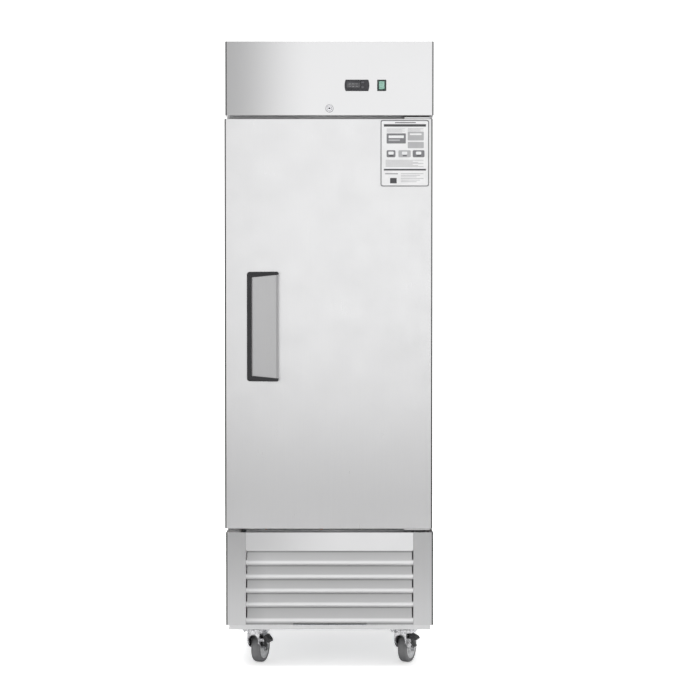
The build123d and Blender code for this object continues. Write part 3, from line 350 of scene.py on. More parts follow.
def fin_stock():
    m = Mat("fin_stock", (0.78, 0.80, 0.82), 1.0, 0.38)
    # painted shade: dark bands across the solid coil block for the gaps between fins
    lines = m.wave(180, "X")
    dust = m.noise(24, detail=6, rough=0.7)
    m.paint(m.mix(m.span(dust, 0, 0.6, 0.5, 0.8),
                  m.mix(lines, (0.45, 0.46, 0.47), (0.82, 0.84, 0.86)), (0.4, 0.38, 0.35)))
    m.rough(m.span(dust, 0.32, 0.6, 0.3, 0.75))
    m.bump(lines, 0.5, 0.001)
    return m.m


def copper():
    m = Mat("copper_tube", (0.72, 0.36, 0.22), 1.0, 0.3)
    stain = m.noise(40, detail=6, rough=0.7)
    m.paint(m.mix(m.span(stain, 0, 0.9, 0.42, 0.75), (0.78, 0.40, 0.25), (0.30, 0.16, 0.11)))
    m.rough(m.span(stain, 0.22, 0.5, 0.3, 0.75))
    m.bump(stain, 0.1, 0.0004)
    return m.m


def foam():
    m = Mat("foam", (0.82, 0.72, 0.46), 0.0, 0.9)
    cells = m.voronoi(420)
    skin = m.noise(12, detail=6)
    m.paint(m.mix(m.span(skin, 0, 1, 0.35, 0.7), (0.72, 0.60, 0.36), (0.88, 0.79, 0.54)))
    m.rough(m.span(skin, 0.82, 0.96, 0.3, 0.7))
    m.bump(cells, 0.6, 0.001)
    return m.m


def chrome():
    m = Mat("lock_chrome", (0.66, 0.66, 0.68), 1.0, 0.14)
    rub = m.noise(300, detail=5, rough=0.7)
    m.paint(m.mix(m.span(rub, 0, 0.5, 0.5, 0.8), (0.68, 0.68, 0.70), (0.48, 0.48, 0.5)))
    m.rough(m.span(rub, 0.08, 0.26, 0.3, 0.75))
    m.bump(rub, 0.06, 0.0003)
    return m.m


def lens_green():
    m = Mat("rocker_lens", (0.26, 0.48, 0.39), 0.0, 0.22, Coat_Weight=0.5)
    ribs = m.wave(260, "Z")
    drift = m.noise(60, detail=4)
    m.paint(m.mix(m.span(drift, 0, 1, 0.3, 0.7), (0.20, 0.40, 0.32), (0.32, 0.54, 0.45)))
    m.rough(m.span(drift, 0.16, 0.3, 0.3, 0.7))
    m.bump(ribs, 0.15, 0.0004)
    return m.m


def display_window():
    m = Mat("display_window", (0.03, 0.03, 0.035), 0.0, 0.10, Coat_Weight=0.3)
    tint = m.noise(30, detail=3)
    haze = m.noise(500, (0.1, 1, 1), 4)
    m.paint(m.mix(m.span(tint, 0, 1, 0.3, 0.7), (0.03, 0.03, 0.034), (0.075, 0.075, 0.082)))
    m.rough(m.span(haze, 0.08, 0.22, 0.3, 0.7))
    m.bump(haze, 0.05, 0.0002)
    return m.m


def lamp_lens():
    m = Mat("lamp_lens", (0.92, 0.93, 0.94), 0.0, 0.3, Transmission_Weight=0.3)
    ribs = m.wave(420, "Y")
    drift = m.noise(20, detail=4)
    m.paint(m.mix(m.span(drift, 0, 1, 0.3, 0.7), (0.86, 0.87, 0.88), (0.95, 0.95, 0.95)))
    m.rough(m.span(drift, 0.24, 0.4, 0.3, 0.7))
    m.bump(ribs, 0.4, 0.0008)
    return m.m


def film(name, colour, roughness=0.34):
    """Printed film: faint paper tooth, slight tone drift, soft gloss."""
    m = Mat(name, colour, 0.0, roughness)
    tooth = m.noise(900, detail=3)
    drift = m.noise(18, detail=4)
    m.paint(m.mix(m.span(drift, 0, 1, 0.3, 0.7), shade(colour, 0.94), shade(colour, 1.04)))
    m.rough(m.span(drift, roughness - 0.05, roughness + 0.08, 0.3, 0.7))
    m.bump(tooth, 0.08, 0.0002)
    return m.m


M.update({
    "louver": louver_sheet(),
    "fins": fin_stock(), "copper": copper(), "foam": foam(), "chrome": chrome(), "lens": lens_green(),
    "window": display_window(), "lamp": lamp_lens(),
    "film": film("label_film", (0.87, 0.87, 0.875)),
    "ink": film("label_ink", (0.06, 0.06, 0.065)),
    "ink_grey": film("label_grey", (0.20, 0.20, 0.21)),
    "ink_light": film("label_light", (0.47, 0.47, 0.48)),
    "key": moulded("keypad", (0.10, 0.10, 0.11), 0.38),
    "slot_dark": moulded("slot_dark", (0.006, 0.006, 0.007), 0.7),
    "green_black": moulded("switch_frame", (0.018, 0.032, 0.028), 0.36),
})

GIVEN = {
    "door": "door_skin",
    "header": "header_cover",
    "side": "side_panels",
    "top": "top_panel face_frame",
    "lower": "lower_pillars",
    "leaf": "hinge_brackets",
    "rail": "base_rails",
    "fascia": "fascia_panel",
    "louver": "louver_blades",
    "handle_plate": "handle_plate",
    "galv": "back_panel base_pan condenser_shroud rear_grille shelf_pilasters shelf_clips",
    "white": "interior_liner door_liner evaporator_housing",
    "black": "handle_frame brake_front_left brake_front_right condenser_fan_blade evaporator_fan_blade "
             "power_inlet",
    "charcoal": "controller_housing",
    "green_black": "rocker_frame",
    "window": "controller_window",
    "lens": "rocker",
    "key": "button_up button_down",
    "chrome": "lock_barrel lock_cylinder",
    "comp": "compressor",
    "fins": "condenser_coil evaporator_coil",
    "motor": "condenser_fan_motor evaporator_fan_motor",
    "copper": "refrigerant_pipes",
    "lamp": "interior_lamp",
    "coat": "wire_shelves",
    "gasket": "door_gasket",
    "film": "info_label",
    "nylon": "hinge_bushes",
    "foam": "foam_insulation door_foam",
    "zinc": "caster_plates fork_front_left fork_front_right fork_rear_left fork_rear_right",
    "hub": "hub_front_left hub_front_right hub_rear_left hub_rear_right",
    "tread": "tyre_front_left tyre_front_right tyre_rear_left tyre_rear_right",
}
for look, names in GIVEN.items():
    for name in names.split():
        mesh = NODES[name].data
        mesh.materials.clear()
        mesh.materials.append(M[look])


# ------------------------------------------------------------------ mesh pieces
class Shape:
    """Collects mesh geometry in millimetres; one object with one look per part of it."""

    def __init__(self, name, *looks):
        self.name, self.looks = name, looks
        self.bm = bmesh.new()

    def _mark(self, before, look):
        for face in self.bm.faces:
            if face not in before:
                face.material_index = look

    def box(self, low, high, look=0, bevel=0.6):
        """Box with rounded edges."""
        before = set(self.bm.faces)
        size = [b - a for a, b in zip(low, high)]
        mid = [(a + b) / 2 for a, b in zip(low, high)]
        place = Matrix.Translation(mid) @ Matrix.Diagonal((*size, 1))
        made = bmesh.ops.create_cube(self.bm, size=1, matrix=place)
        if bevel:
            edges = {e for v in made["verts"] for e in v.link_edges}
            bmesh.ops.bevel(self.bm, geom=list(edges), offset=min(bevel, min(size) * 0.45), segments=2,
                            affect="EDGES", profile=0.5)
        self._mark(before, look)

    def moved_box(self, matrix, low, high, look=0, bevel=0.6):
        """Box with rounded edges, moved by a matrix."""
        before = set(self.bm.verts)
        self.box(low, high, look, bevel)
        new = [v for v in self.bm.verts if v not in before]
        bmesh.ops.transform(self.bm, matrix=matrix, verts=new)

    def lathe(self, profile, at, axis, look=0, segments=40, closed=False):
        """Surface of revolution: (radius, height) points about an axis through a point."""
        before = set(self.bm.faces)
        turn = Vector(axis).to_track_quat("Z", "Y").to_matrix()
        rings = []
        for radius, height in profile:
            if radius < 1e-6:
                rings.append([self.bm.verts.new(turn @ Vector((0, 0, height)) + Vector(at))])
                continue
            ring = []
            for n in range(segments):
                a = 2 * math.pi * n / segments
                ring.append(self.bm.verts.new(
                    turn @ Vector((radius * math.cos(a), radius * math.sin(a), height)) + Vector(at)))
            rings.append(ring)
        pairs = list(zip(rings, rings[1:]))
        if closed:
            pairs.append((rings[-1], rings[0]))
        for a, b in pairs:
            for n in range(segments):
                k = (n + 1) % segments
                if len(a) == 1 and len(b) > 1:
                    self.bm.faces.new((a[0], b[n], b[k]))
                elif len(b) == 1 and len(a) > 1:
                    self.bm.faces.new((a[n], a[k], b[0]))
                elif len(a) > 1:
                    self.bm.faces.new((a[n], a[k], b[k], b[n]))
        self._mark(before, look)

    def tube(self, points, radius, look, segments, steps):
        """Round tube along a smooth curve through the points."""
        before = set(self.bm.faces)
        pts = [Vector(p) for p in points]
        line = []
        for i in range(len(pts) - 1):
            p0, p1, p2, p3 = pts[max(i - 1, 0)], pts[i], pts[i + 1], pts[min(i + 2, len(pts) - 1)]
            for step in range(steps):
                t = step / steps
                line.append(0.5 * ((2 * p1) + (p2 - p0) * t + (2 * p0 - 5 * p1 + 4 * p2 - p3) * t * t
                                   + (3 * p1 - p0 - 3 * p2 + p3) * t ** 3))
        line.append(pts[-1])
        rings, side = [], None
        for i, p in enumerate(line):
            along = (line[min(i + 1, len(line) - 1)] - line[max(i - 1, 0)]).normalized()
            side = along.orthogonal() if side is None else (side - along * side.dot(along))
            side = side.normalized()
            other = along.cross(side)
            rings.append([self.bm.verts.new(p + radius * (math.cos(a) * side + math.sin(a) * other))
                          for a in (2 * math.pi * n / segments for n in range(segments))])
        for a, b in zip(rings, rings[1:]):
            for n in range(segments):
                k = (n + 1) % segments
                self.bm.faces.new((a[n], a[k], b[k], b[n]))
        self.bm.faces.new(rings[0])
        self.bm.faces.new(rings[-1])
        self._mark(before, look)

    def prism(self, outline, origin, u, v, depth, look=0, bevel=0.0):
        """Outline in the u, v plane pushed along u x v by depth."""
        before = set(self.bm.faces)
        u, v, origin = Vector(u), Vector(v), Vector(origin)
        normal = u.cross(v)
        low = [self.bm.verts.new(origin + u * a + v * b) for a, b in outline]
        high = [self.bm.verts.new(origin + u * a + v * b + normal * depth) for a, b in outline]
        self.bm.faces.new(low)
        self.bm.faces.new(high)
        for n in range(len(outline)):
            k = (n + 1) % len(outline)
            self.bm.faces.new((low[n], low[k], high[k], high[n]))
        if bevel:
            edges = {e for w in low + high for e in w.link_edges}
            bmesh.ops.bevel(self.bm, geom=list(edges), offset=bevel, segments=2, affect="EDGES", profile=0.5)
        self._mark(before, look)

    def hexagon(self, at, axis, across, height, look=0):
        """Hexagonal head with a chamfered crown and a washer face."""
        turn = Vector(axis).to_track_quat("Z", "Y").to_matrix()
        before = set(self.bm.faces)
        radius = across / math.sqrt(3)
        levels = ((radius, 0), (radius, height * 0.82), (radius * 0.86, height))
        rings = [[self.bm.verts.new(turn @ Vector((r * math.cos(a), r * math.sin(a), h)) + Vector(at))
                  for a in (math.pi * n / 3 for n in range(6))] for r, h in levels]
        for a, b in zip(rings, rings[1:]):
            for n in range(6):
                self.bm.faces.new((a[n], a[(n + 1) % 6], b[(n + 1) % 6], b[n]))
        self.bm.faces.new(rings[-1])
        self._mark(before, look)
        flange, thick = radius * 1.25, height * 0.14
        self.lathe([(flange, 0), (flange, thick), (0, thick)], at, axis, look, 24)

    def transform(self, matrix):
        bmesh.ops.transform(self.bm, matrix=matrix, verts=self.bm.verts)

    def put(self, body, smooth=35, replaces=()):
        """Make the object, shade it and set it riding on a body."""
        bmesh.ops.recalc_face_normals(self.bm, faces=self.bm.faces)
        bmesh.ops.scale(self.bm, vec=(MM, MM, MM), verts=self.bm.verts)
        mesh = bpy.data.meshes.new(self.name)
        self.bm.to_mesh(mesh)
        self.bm.free()
        for look in self.looks:
            mesh.materials.append(M[look])
        mesh.shade_smooth()
        mesh.set_sharp_from_angle(angle=math.radians(smooth))
        obj = bpy.data.objects.new(self.name, mesh)
        scene.collection.objects.link(obj)
        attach(obj, body)
        if replaces:
            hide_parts(*replaces)


def mm_box(node):
    """A node's box in millimetres."""
    low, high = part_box(node)
    return low / MM, high / MM


def rounded(width, height, radius, steps=5):
    """Outline of a rounded rectangle centred on 0, 0."""
    out = []
    for cx, cy, start in ((1, 1, 0), (-1, 1, 90), (-1, -1, 180), (1, -1, 270)):
        for n in range(steps + 1):
            a = math.radians(start + 90 * n / steps)
            out.append((cx * (width / 2 - radius) + radius * math.cos(a),
                        cy * (height / 2 - radius) + radius * math.sin(a)))
    return out


X, Y, Z = (1, 0, 0), (0, 1, 0), (0, 0, 1)
FORWARD, DOWN, LEFT = (0, -1, 0), (0, 0, -1), (-1, 0, 0)

# ---- printed label: blocks, rules and pictograms with no lettering
LAB0, LAB1 = mm_box("info_label")
LAB_W, LAB_H = LAB1.x - LAB0.x, LAB1.z - LAB0.z
INK_T, OVER = 0.12, 0.05    # thickness of a patch, lift of a patch on top of another
BLACK, GREY, LIGHT, PAPER = range(4)


def ink(fx0, fx1, fy0, fy1, look, radius=0.0, lift=0.0):
    """Printed patch; fractions run from the label's left edge and down from its top."""
    x0, x1 = LAB0.x + fx0 * LAB_W, LAB0.x + fx1 * LAB_W
    z1, z0 = LAB1.z - fy0 * LAB_H, LAB1.z - fy1 * LAB_H
    outline = rounded(x1 - x0, z1 - z0, max(radius, 0.3), 4)
    label.prism(outline, ((x0 + x1) / 2, LAB0.y - lift, (z0 + z1) / 2), X, Z, INK_T, look)


label = Shape("label_print", "ink", "ink_grey", "ink_light", "film")
ring_out, ring_in = rounded(LAB_W - 2, LAB_H - 2, 7), rounded(LAB_W - 9, LAB_H - 9, 5)
centre = Vector(((LAB0.x + LAB1.x) / 2, LAB0.y - INK_T, (LAB0.z + LAB1.z) / 2))
outer = [label.bm.verts.new(centre + Vector((a, 0, b))) for a, b in ring_out]
inner = [label.bm.verts.new(centre + Vector((a, 0, b))) for a, b in ring_in]
for n in range(len(outer)):
    k = (n + 1) % len(outer)
    label.bm.faces.new((outer[n], outer[k], inner[k], inner[n])).material_index = GREY
# two bars right across and a title rule
ink(0.075, 0.93, 0.068, 0.104, BLACK)
ink(0.075, 0.93, 0.732, 0.757, BLACK)
ink(0.30, 0.72, 0.038, 0.052, GREY)
# pictograms side by side with rules above them
ink(0.13, 0.52, 0.205, 0.355, GREY, 2)
ink(0.17, 0.48, 0.235, 0.275, PAPER, 1, OVER)
ink(0.17, 0.40, 0.295, 0.318, LIGHT, 1, OVER)
ink(0.56, 0.885, 0.178, 0.310, LIGHT, 2)
ink(0.60, 0.84, 0.205, 0.23, PAPER, 1, OVER)
ink(0.56, 0.885, 0.332, 0.425, LIGHT, 2)
for n in range(4):
    ink(0.13, 0.50 - 0.05 * (n % 2), 0.135 + 0.016 * n, 0.141 + 0.016 * n, LIGHT)
    ink(0.56, 0.88 - 0.06 * (n % 2), 0.128 + 0.012 * n, 0.133 + 0.012 * n, LIGHT)
# row of three blocks
for fx0, fx1, look in ((0.13, 0.31, GREY), (0.37, 0.62, LIGHT), (0.66, 0.90, GREY)):
    ink(fx0, fx1, 0.455, 0.560, look, 4)
    mid = (fx0 + fx1) / 2
    ink(mid - 0.055, mid + 0.055, 0.475, 0.520, PAPER, 3, OVER)
    ink(mid - 0.035, mid + 0.045, 0.528, 0.545, BLACK, 1, OVER)
# rules under them, and rules with a block at the foot
for n in range(7):
    ink(0.11, 0.88 - 0.11 * ((n * 5) % 3), 0.600 + 0.016 * n, 0.607 + 0.016 * n, LIGHT)
for n in range(6):
    ink(0.42, 0.88 - 0.07 * ((n * 4) % 3), 0.800 + 0.024 * n, 0.808 + 0.024 * n, LIGHT)
ink(0.20, 0.335, 0.868, 0.948, BLACK, 1)
ink(0.10, 0.36, 0.800, 0.812, GREY)
label.put("door")

# ---- controller: crowned window, its marks and trim lines
WIN0, WIN1 = mm_box("controller_window")
WMID, WHALF = (WIN0 + WIN1) / 2, (WIN1 - WIN0) / 2
CROWN, END_FALL = 1.6, 0.3    # rise of the window's middle over its top and bottom, and over its ends
window = Shape("display_lens", "window")
columns, rows = 18, 12
grid = []
for r in range(rows + 1):
    v = r / rows * 2 - 1
    line = []
    for c in range(columns + 1):
        u = c / columns * 2 - 1
        crown = CROWN * (1 - v * v) + END_FALL * (1 - u ** 8)
        line.append(window.bm.verts.new((WMID.x + u * WHALF.x, WIN0.y - crown, WMID.z + v * WHALF.z)))
    grid.append(line)
for r in range(rows):
    for c in range(columns):
        window.bm.faces.new((grid[r][c], grid[r][c + 1], grid[r + 1][c + 1], grid[r + 1][c]))
window.put("cabinet", smooth=60, replaces=("controller_window",))

CTL0, CTL1 = mm_box("controller_housing")
trim = Shape("display_trim", "charcoal", "ink_light")
for n in range(3):
    x = WMID.x - 15 + 11 * n
    for z in (WMID.z - 4.5, WMID.z + 3.7):
        trim.box((x, WIN0.y - 1.9, z), (x + 7.5, WIN0.y - 1.6, z + 0.8), 1, 0.1)
for z in (WMID.z - 4.1, WMID.z, WMID.z + 4.1):
    trim.box((WMID.x + 18.2, WIN0.y - 1.6, z - 0.9), (WMID.x + 20.0, WIN0.y - 0.8, z + 0.9), 1, 0.2)
for z in (CTL0.z + 3.2, CTL1.z - 3.2):
    trim.tube([(CTL0.x + 6, CTL0.y - 0.2, z), (CTL1.x - 6, CTL0.y - 0.2, z)], 0.9, 0, 8, 8)
trim.box((WIN1.x + 2.0, CTL0.y - 0.7, WIN0.z - 1), (WIN1.x + 3.0, CTL0.y + 0.2, WIN1.z + 1), 0, 0.3)
trim.put("cabinet")

# ---- lock: keyway with painted shade, a chrome ring on the plug, and dark rings round plug and barrel for painted shadow at the joins
PLUG0 = mm_box("lock_cylinder")[0]
BAR0, BAR1 = mm_box("lock_barrel")
HEAD0 = mm_box("header_cover")[0]
LOCK = (BAR0 + BAR1) / 2
plug_face, barrel_face, header_face = ((LOCK.x, y, LOCK.z) for y in (PLUG0.y, BAR0.y, HEAD0.y))
keyway = Shape("keyway", "slot_dark", "chrome")
# painted shade: a dark box in the key slot and a dark disc round its middle
keyway.box((LOCK.x - 4, PLUG0.y + 0.6, LOCK.z - 0.85), (LOCK.x + 4, PLUG0.y + 5, LOCK.z + 0.85), 0, 0.2)
keyway.lathe([(0, 0.2), (2.4, 0.2), (2.8, 0.0)], plug_face, FORWARD, 0, 28)
keyway.lathe([(5.4, 0.0), (5.6, 0.25), (6.4, 0.25), (6.7, 0.0)], plug_face, FORWARD, 1, 36)
keyway.put("lock")
seat_shadow = Shape("lock_seat_shadow", "slot_dark", "chrome")
# painted shadow: dark rings where the barrel meets the header and the plug meets the barrel
seat_shadow.lathe([(12.2, 0.0), (12.3, 0.35), (12.9, 0.35), (13.1, 0.0)], header_face, FORWARD, 0, 48)
seat_shadow.lathe([(7.7, 0.0), (7.8, 0.25), (8.5, 0.25), (8.6, 0.0)], barrel_face, FORWARD, 0, 48)
seat_shadow.put("cabinet")

# ---- door seal: bellows profile carried round the door
SEAL0, SEAL1 = mm_box("door_gasket")
seal = Shape("seal_bellows", "gasket")
# inset from the seal's outer edge, share of its depth towards the cabinet
profile = [(0, 0.0), (1.5, 0.35), (0.3, 0.55), (2.2, 0.72), (1.2, 0.92), (3.0, 1.0),
           (12.5, 1.0), (14.2, 0.92), (13.0, 0.72), (15.2, 0.55), (14.0, 0.35), (16.0, 0.0)]
loops = []
for inset, part in profile:
    x0, x1 = SEAL0.x + inset, SEAL1.x - inset
    z0, z1 = SEAL0.z + inset, SEAL1.z - inset
    y = SEAL0.y + part * (SEAL1.y - SEAL0.y)
    loops.append([seal.bm.verts.new((cx, y, cz)) for cx, cz in ((x0, z0), (x1, z0), (x1, z1), (x0, z1))])
for a, b in zip(loops, loops[1:] + loops[:1]):
    for n in range(4):
        k = (n + 1) % 4
        seal.bm.faces.new((a[n], a[k], b[k], b[n]))
seal.put("door", smooth=50, replaces=("door_gasket",))


def pan_head(shape, at, axis, radius):
    """Cross-recess pan head: low dome with a sunk dark cross, painted shade in the recess."""
    dome = [(1, 0), (1, 0.22), (0.82, 0.45), (0.4, 0.58), (0, 0.6)]
    shape.lathe([(r * radius, h * radius) for r, h in dome], at, axis, 0, 24)
    turn = Vector(axis).to_track_quat("Z", "Y").to_matrix().to_4x4()
    for quarter in (0, 90):
        place = Matrix.Translation(at) @ turn @ Matrix.Rotation(math.radians(quarter), 4, "Z")
        shape.moved_box(place, (-radius * 0.55, -radius * 0.11, radius * 0.50),
                        (radius * 0.55, radius * 0.11, radius * 0.62), 1, 0.0)


# ---- hinge leaves: screws
LEAF0, LEAF1 = mm_box("hinge_brackets")
SCREW_INSET, SCREW_STEP = 14, 30
SCREW_XS = (LEAF0.x + SCREW_INSET, (LEAF0.x + LEAF1.x) / 2, LEAF1.x - SCREW_INSET)
screws = Shape("hinge_screws", "zinc", "slot_dark")
for inset in (SCREW_INSET, SCREW_INSET + SCREW_STEP):
    for z in (LEAF0.z + inset, LEAF1.z - inset):
        for x in SCREW_XS:
            pan_head(screws, (x, LEAF1.y - 4, z), FORWARD, 4.2)
screws.put("cabinet")

# ---- rear: grille screws, gland collar and a blank rating plate
GR0, GR1 = mm_box("rear_grille")
rear = Shape("rear_screws", "zinc", "slot_dark")
for x in (GR0.x + 12, (GR0.x + GR1.x) / 2, GR1.x - 12):
    for z in (GR0.z + 12, GR1.z - 12):
        pan_head(rear, (x, GR1.y, z), Y, 4.5)
rear.put("cabinet")

INL0, INL1 = mm_box("power_inlet")
IN = (INL0 + INL1) / 2
inlet = Shape("inlet_collar", "black", "charcoal")
inlet.lathe([(6.3, 0), (6.3, 6), (7.6, 6.6), (10.5, 6.0), (12.5, 3.4), (13.2, 0)],
            (IN.x, INL1.y - 8, IN.z), Y, 0, 40)
for n in range(16):
    a = 2 * math.pi * n / 16
    cx, cz = IN.x + 13.4 * math.cos(a), IN.z + 13.4 * math.sin(a)
    inlet.box((cx - 0.9, INL1.y - 9, cz - 0.9), (cx + 0.9, INL1.y - 4.5, cz + 0.9), 1, 0.4)
inlet.put("cabinet")

plate = Shape("blank_rating_plate", "film", "ink_grey", "ink_light")
PX, PZ = IN.x - 25, GR1.z - 90
plate.prism(rounded(120, 70, 5), (PX, GR1.y, PZ), LEFT, Z, 0.3, 0)
for n in range(6):
    z = PZ - 24 + n * 9
    plate.box((PX - 50, GR1.y + 0.3, z), (PX + 20 - 9 * (n % 3), GR1.y + 0.42, z + 2), 1, 0)
    plate.box((PX + 30, GR1.y + 0.3, z), (PX + 50, GR1.y + 0.42, z + 3), 2, 0)
plate.put("cabinet")

# ---- louver section: dust screen and side strips behind the blades
LV0, LV1 = mm_box("louver_blades")
screen = Shape("dust_screen", "slot_dark", "galv")
SCREEN_Y = LV1.y + 14
UPRIGHTS, CROSSINGS = 46, 20
for n in range(UPRIGHTS):
    x = LV0.x + 14 + n * (LV1.x - LV0.x - 28) / (UPRIGHTS - 1)
    screen.tube([(x, SCREEN_Y, LV0.z + 2), (x, SCREEN_Y, LV1.z)], 0.7, 0, 5, 2)
for n in range(CROSSINGS):
    z = LV0.z + 4 + n * (LV1.z - LV0.z - 8) / (CROSSINGS - 1)
    screen.tube([(LV0.x + 8, SCREEN_Y + 1.2, z), (LV1.x - 8, SCREEN_Y + 1.2, z)], 0.7, 0, 5, 2)
for x in (LV0.x + 4, LV1.x - 12):
    screen.box((x, SCREEN_Y - 12, LV0.z), (x + 8, SCREEN_Y - 9.8, LV1.z + 3), 1, 0.5)
screen.put("cabinet")

# ---- casters
WHEELS = ("front_left", "front_right", "rear_left", "rear_right")
PLATE_Z = mm_box("base_rails")[0].z - 5    # underside of the caster plates
RIBS = 10                                  # ribs on each side of a hub
TRAIL, AXLE_Z = 35, 50                     # axle behind the kingpin and above the floor
LEG_X, TRIM_X = 22.0, 20.5                 # outer face of a fork leg, centre line of its turned edge
# half of a tyre's outline, from the bead up the wall to the middle of the tread, and its mirror image
TYRE = [(37.0, -15.0), (39.5, -15.6), (43.5, -15.2), (45.2, -15.8), (47.6, -14.6), (48.9, -12.6),
        (49.5, -9.4), (48.5, -8.9), (48.5, -7.7), (49.8, -7.1), (50.0, 0.0)]
TYRE += [(radius, -width) for radius, width in TYRE[-2::-1]]
for corner in WHEELS:
    swivel = JOINTS["swivel_" + corner]
    spin = JOINTS["spin_" + corner]
    sx, sy = swivel["pos_m"][0] / MM, swivel["pos_m"][1] / MM
    wheel_at = Vector(spin["pos_m"]) / MM
    axle = Vector(spin["axis"])
    forward = Vector((0, 0, 1)).cross(axle)
    local = Matrix((axle, forward, Vector(Z))).transposed().to_4x4()
    here = Matrix.Translation((sx, sy, 0)) @ local

    # plate bolts, nuts and the pressed cover over the ball race
    bolts = Shape("caster_bolts_" + corner, "zinc", "galv")
    for dx in (-38, 38):
        for dy in (-28, 28):
            at = (sx + dx, sy + dy, PLATE_Z)
            bolts.hexagon(at, DOWN, 12, 5.5)
            bolts.lathe([(3, 5.2), (3, 9), (2.2, 9.6), (0, 9.6)], at, DOWN, 1, 16)
    bolts.lathe([(26, 0), (33.2, 0.4), (35.6, 2.0), (36.2, 5.5), (35.8, 9.5), (34.6, 10.2), (33.8, 9.4),
                 (34.2, 5.0), (33.4, 2.6), (27, 2.2)], (sx, sy, PLATE_Z - 0.2), DOWN, 0, 56)
    bolts.put("cabinet", smooth=40)

    # fork: turned-out edge along the arch and a raised boss round the axle
    dress = Shape("fork_dress_" + corner, "zinc", "slot_dark")
    for side in (-1, 1):
        at, outwards = (side * LEG_X, TRAIL, AXLE_Z), (side, 0, 0)
        dress.lathe([(13.2, 0), (13.2, 1.2), (12.0, 2.0), (10.6, 1.4)], at, outwards, 0, 36)
        dress.lathe([(6.2, 5.0), (6.2, 6.6), (5.0, 7.4), (0, 7.4)], at, outwards, 0, 24)
        bend = ((-27.4, 104), (-27.4, 78), (-12, 61), (8, 53.5), (22, AXLE_Z))
        dress.tube([(side * TRIM_X, y, z) for y, z in bend], 1.5, 0, 8, 6)
    turns = [math.pi * n / 14 for n in range(15)]
    dress.tube([(-18.4 * math.cos(a), -28.3, 84 + 18.4 * math.sin(a)) for a in turns], 1.0, 0, 8, 3)
    dress.transform(here)
    dress.put("caster_" + corner, smooth=40)

    # tyre: crowned tread with two channels and shouldered walls
    tyre = Shape("tread_" + corner, "tread")
    tyre.lathe(TYRE, (0, 0, 0), X, 0, 96, closed=True)
    tyre.transform(Matrix.Translation(wheel_at) @ local)
    tyre.put("wheel_" + corner, smooth=32, replaces=("tyre_" + corner,))

    # hub: ribs, rim bead and dust cap on both sides
    rim = Shape("hub_dress_" + corner, "hub", "charcoal")
    for side in (-1, 1):
        outwards = (side, 0, 0)
        rim.lathe([(36.8, 12.2), (36.2, 15.4), (34.0, 15.8), (32.4, 14.2), (31.8, 12.0)], (0, 0, 0),
                  outwards, 0, 64)
        rim.lathe([(13.8, 12.0), (13.6, 17.6), (12.6, 18.4), (9.4, 18.4), (8.8, 17.2)], (0, 0, 0),
                  outwards, 1, 40)
        x0, x1 = sorted((side * 12.0, side * 15.4))
        for n in range(RIBS):
            turn = Matrix.Rotation(2 * math.pi * n / RIBS, 4, "X")
            rim.moved_box(turn, (x0, 15, -1.3), (x1, 32.5, 1.3), 0, 0.5)
    rim.transform(Matrix.Translation(wheel_at) @ local)
    rim.put("wheel_" + corner, smooth=40)

# ---- brake straps and pedal ribs, shaped on the lever's own axis; tilt is the lever's angle at rest
for corner, tilt in (("front_left", 0), ("front_right", -27)):
    joint = JOINTS["brake_lever_" + corner]
    axis = Vector(joint["axis"])
    outward = axis.cross(Vector(Z))
    local = Matrix((outward, axis, Vector(Z))).transposed().to_4x4()
    turned = local @ Matrix.Rotation(math.radians(tilt), 4, "Y")
    strap = Shape("brake_strap_" + corner, "black")
    strap.prism([(-13.5, 5), (13.5, 5), (14.0, -10), (16.0, -18), (16.5, -24), (12, -28), (2, -27),
                 (-9.5, -20)], (-3.2, 0, 0), Y, Z, 4.6, 0, 0.9)
    for n in range(4):
        strap.box((10.2 + 3.0 * n, -12, 16.6 - 3.7 * n), (11.4 + 3.0 * n, 12, 18.2 - 3.7 * n), 0, 0.4)
    strap.transform(Matrix.Translation(Vector(joint["pos_m"]) / MM) @ turned)
    strap.put("brake_" + corner, smooth=40)


# ------------------------------------------------------------------ stage, light, camera
FLOOR_SIDE, FLOOR_FRONT, FLOOR_BACK = 14.0, -8.0, 4.5
FLOOR_TONE, FLOOR_DARK = (0.93, 0.93, 0.93), (0.42, 0.42, 0.42)
FADE_START, FADE_END = -1.0, -3.2    # where the mirrored floor starts to darken, and is darkest
floor_mesh = bpy.data.meshes.new("floor")
floor_mesh.from_pydata([(x, y, 0) for x, y in ((-FLOOR_SIDE, FLOOR_FRONT), (FLOOR_SIDE, FLOOR_FRONT),
                                               (FLOOR_SIDE, FLOOR_BACK), (-FLOOR_SIDE, FLOOR_BACK))],
                       [], [(0, 1, 2, 3)])
floor = bpy.data.objects.new("floor", floor_mesh)
scene.collection.objects.link(floor)
# the camera sees a plain white floor, mirrored rays one that darkens towards the camera
pale = Mat("pale_floor", FLOOR_TONE, 0.0, 0.8)
pale.rough(pale.span(pale.noise(3), 0.75, 0.9))
looked_at = pale.t.nodes.new("ShaderNodeLightPath").outputs["Is Camera Ray"]
fade = pale.span(pale.axis("Y"), 0, 1, FADE_START, FADE_END)
mirrored_tone = pale.mix(fade, FLOOR_TONE, FLOOR_DARK)
pale.paint(pale.mix(looked_at, mirrored_tone, FLOOR_TONE))
pale.bsdf.inputs["Emission Color"].default_value = (1, 1, 1, 1)
pale.link(pale.span(looked_at, 0.0, 0.5), pale.bsdf.inputs["Emission Strength"])
floor_mesh.materials.append(pale.m)

world = bpy.data.worlds.new("studio")
scene.world = world
world.use_nodes = True
wt = world.node_tree
back = wt.nodes["Background"]
coord = wt.nodes.new("ShaderNodeTexCoord")
split = wt.nodes.new("ShaderNodeSeparateXYZ")
wt.links.new(coord.outputs["Generated"], split.inputs["Vector"])
aside, ahead, up = (split.outputs[name] for name in "XYZ")    # components of the direction looked in


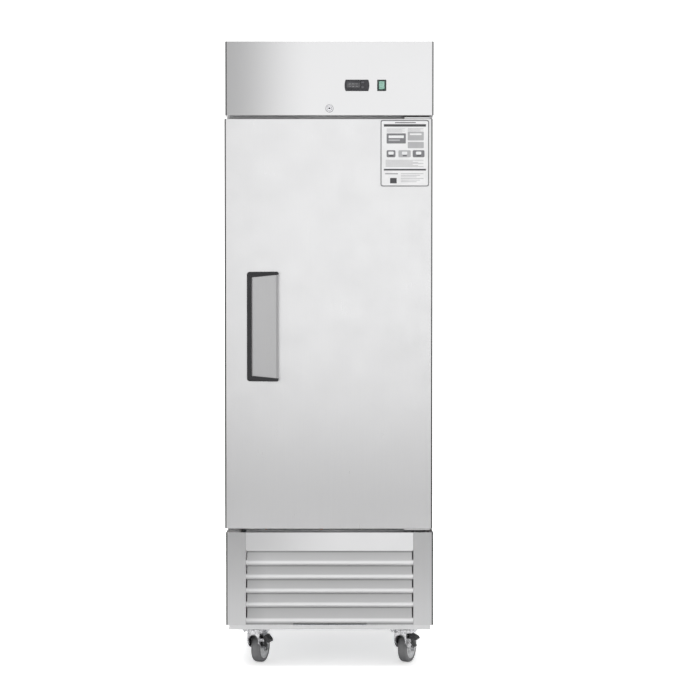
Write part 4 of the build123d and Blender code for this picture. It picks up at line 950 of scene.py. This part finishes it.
def sky_span(value, start, end, low, high):
    """Smooth step from low to high while the value goes from start to end."""
    return span_node(wt, value, low, high, start, end, "SMOOTHSTEP")


# the room that the metal mirrors: a bright patch in front, darker low, high and off to both sides
FRONT_LEVEL = 1.42
rise = sky_span(up, -0.30, -0.06, 0.42, 1.0)
fall = sky_span(up, 0.18, 0.62, 1.0, 0.28)
left_dark = sky_span(aside, -0.42, -0.12, 0.25, 1.0)
right_dark = sky_span(aside, 0.25, 0.5, 1.0, 0.25)
flanks = sky_span(math_node(wt, "ABSOLUTE", aside), 0.86, 0.96, 0.0, 0.6)
behind = sky_span(ahead, 0.15, 0.5, 0.0, 0.72)
left_far = sky_span(aside, -0.58, -0.40, 0.60, 0.0)
sides = math_node(wt, "MAXIMUM", math_node(wt, "MULTIPLY", left_dark, right_dark), flanks)
sides = math_node(wt, "MAXIMUM", sides, left_far)
front_light = math_node(wt, "MULTIPLY", math_node(wt, "MULTIPLY", rise, fall), sides)
studio = math_node(wt, "MAXIMUM", math_node(wt, "MULTIPLY", front_light, FRONT_LEVEL), behind)
seen = wt.nodes.new("ShaderNodeLightPath").outputs["Is Camera Ray"]
wt.links.new(math_node(wt, "MAXIMUM", studio, seen), back.inputs["Strength"])
back.inputs["Color"].default_value = (1, 1, 1, 1)


def area(name, place, target, size, power):
    """Soft light that the metal does not mirror."""
    light = bpy.data.lights.new(name, "AREA")
    light.shape = "RECTANGLE"
    light.size, light.size_y = size
    light.energy = power
    obj = bpy.data.objects.new(name, light)
    obj.location = place
    obj.rotation_euler = (Vector(target) - Vector(place)).to_track_quat("-Z", "Y").to_euler()
    obj.visible_glossy = False
    scene.collection.objects.link(obj)


area("key_right", (2.6, -3.4, 3.0), (0, 0, 1.1), (1.6, 2.4), 30)
area("fill_left", (-3.2, -2.6, 2.2), (0, 0, 1.0), (1.4, 2.4), 15)
area("top_soft", (0, 0.6, 5.2), (0, 0.2, 0), (6.0, 6.0), 430)

ASIDE, DISTANCE, EYE = 0.068, 5.0, 1.167      # right of the middle, in front of the door, above the floor
TILT, LENS, SENSOR = math.radians(1.20), 77.45, 36
cam_data = bpy.data.cameras.new("camera")
cam_data.sensor_width = SENSOR
cam_data.lens = LENS
cam = bpy.data.objects.new("camera", cam_data)
cam.location = (ASIDE, FACE_Y - DISTANCE, EYE)
cam.rotation_euler = (math.pi / 2 - TILT, 0, 0)
scene.collection.objects.link(cam)
scene.camera = cam
scene.view_settings.view_transform = "Standard"
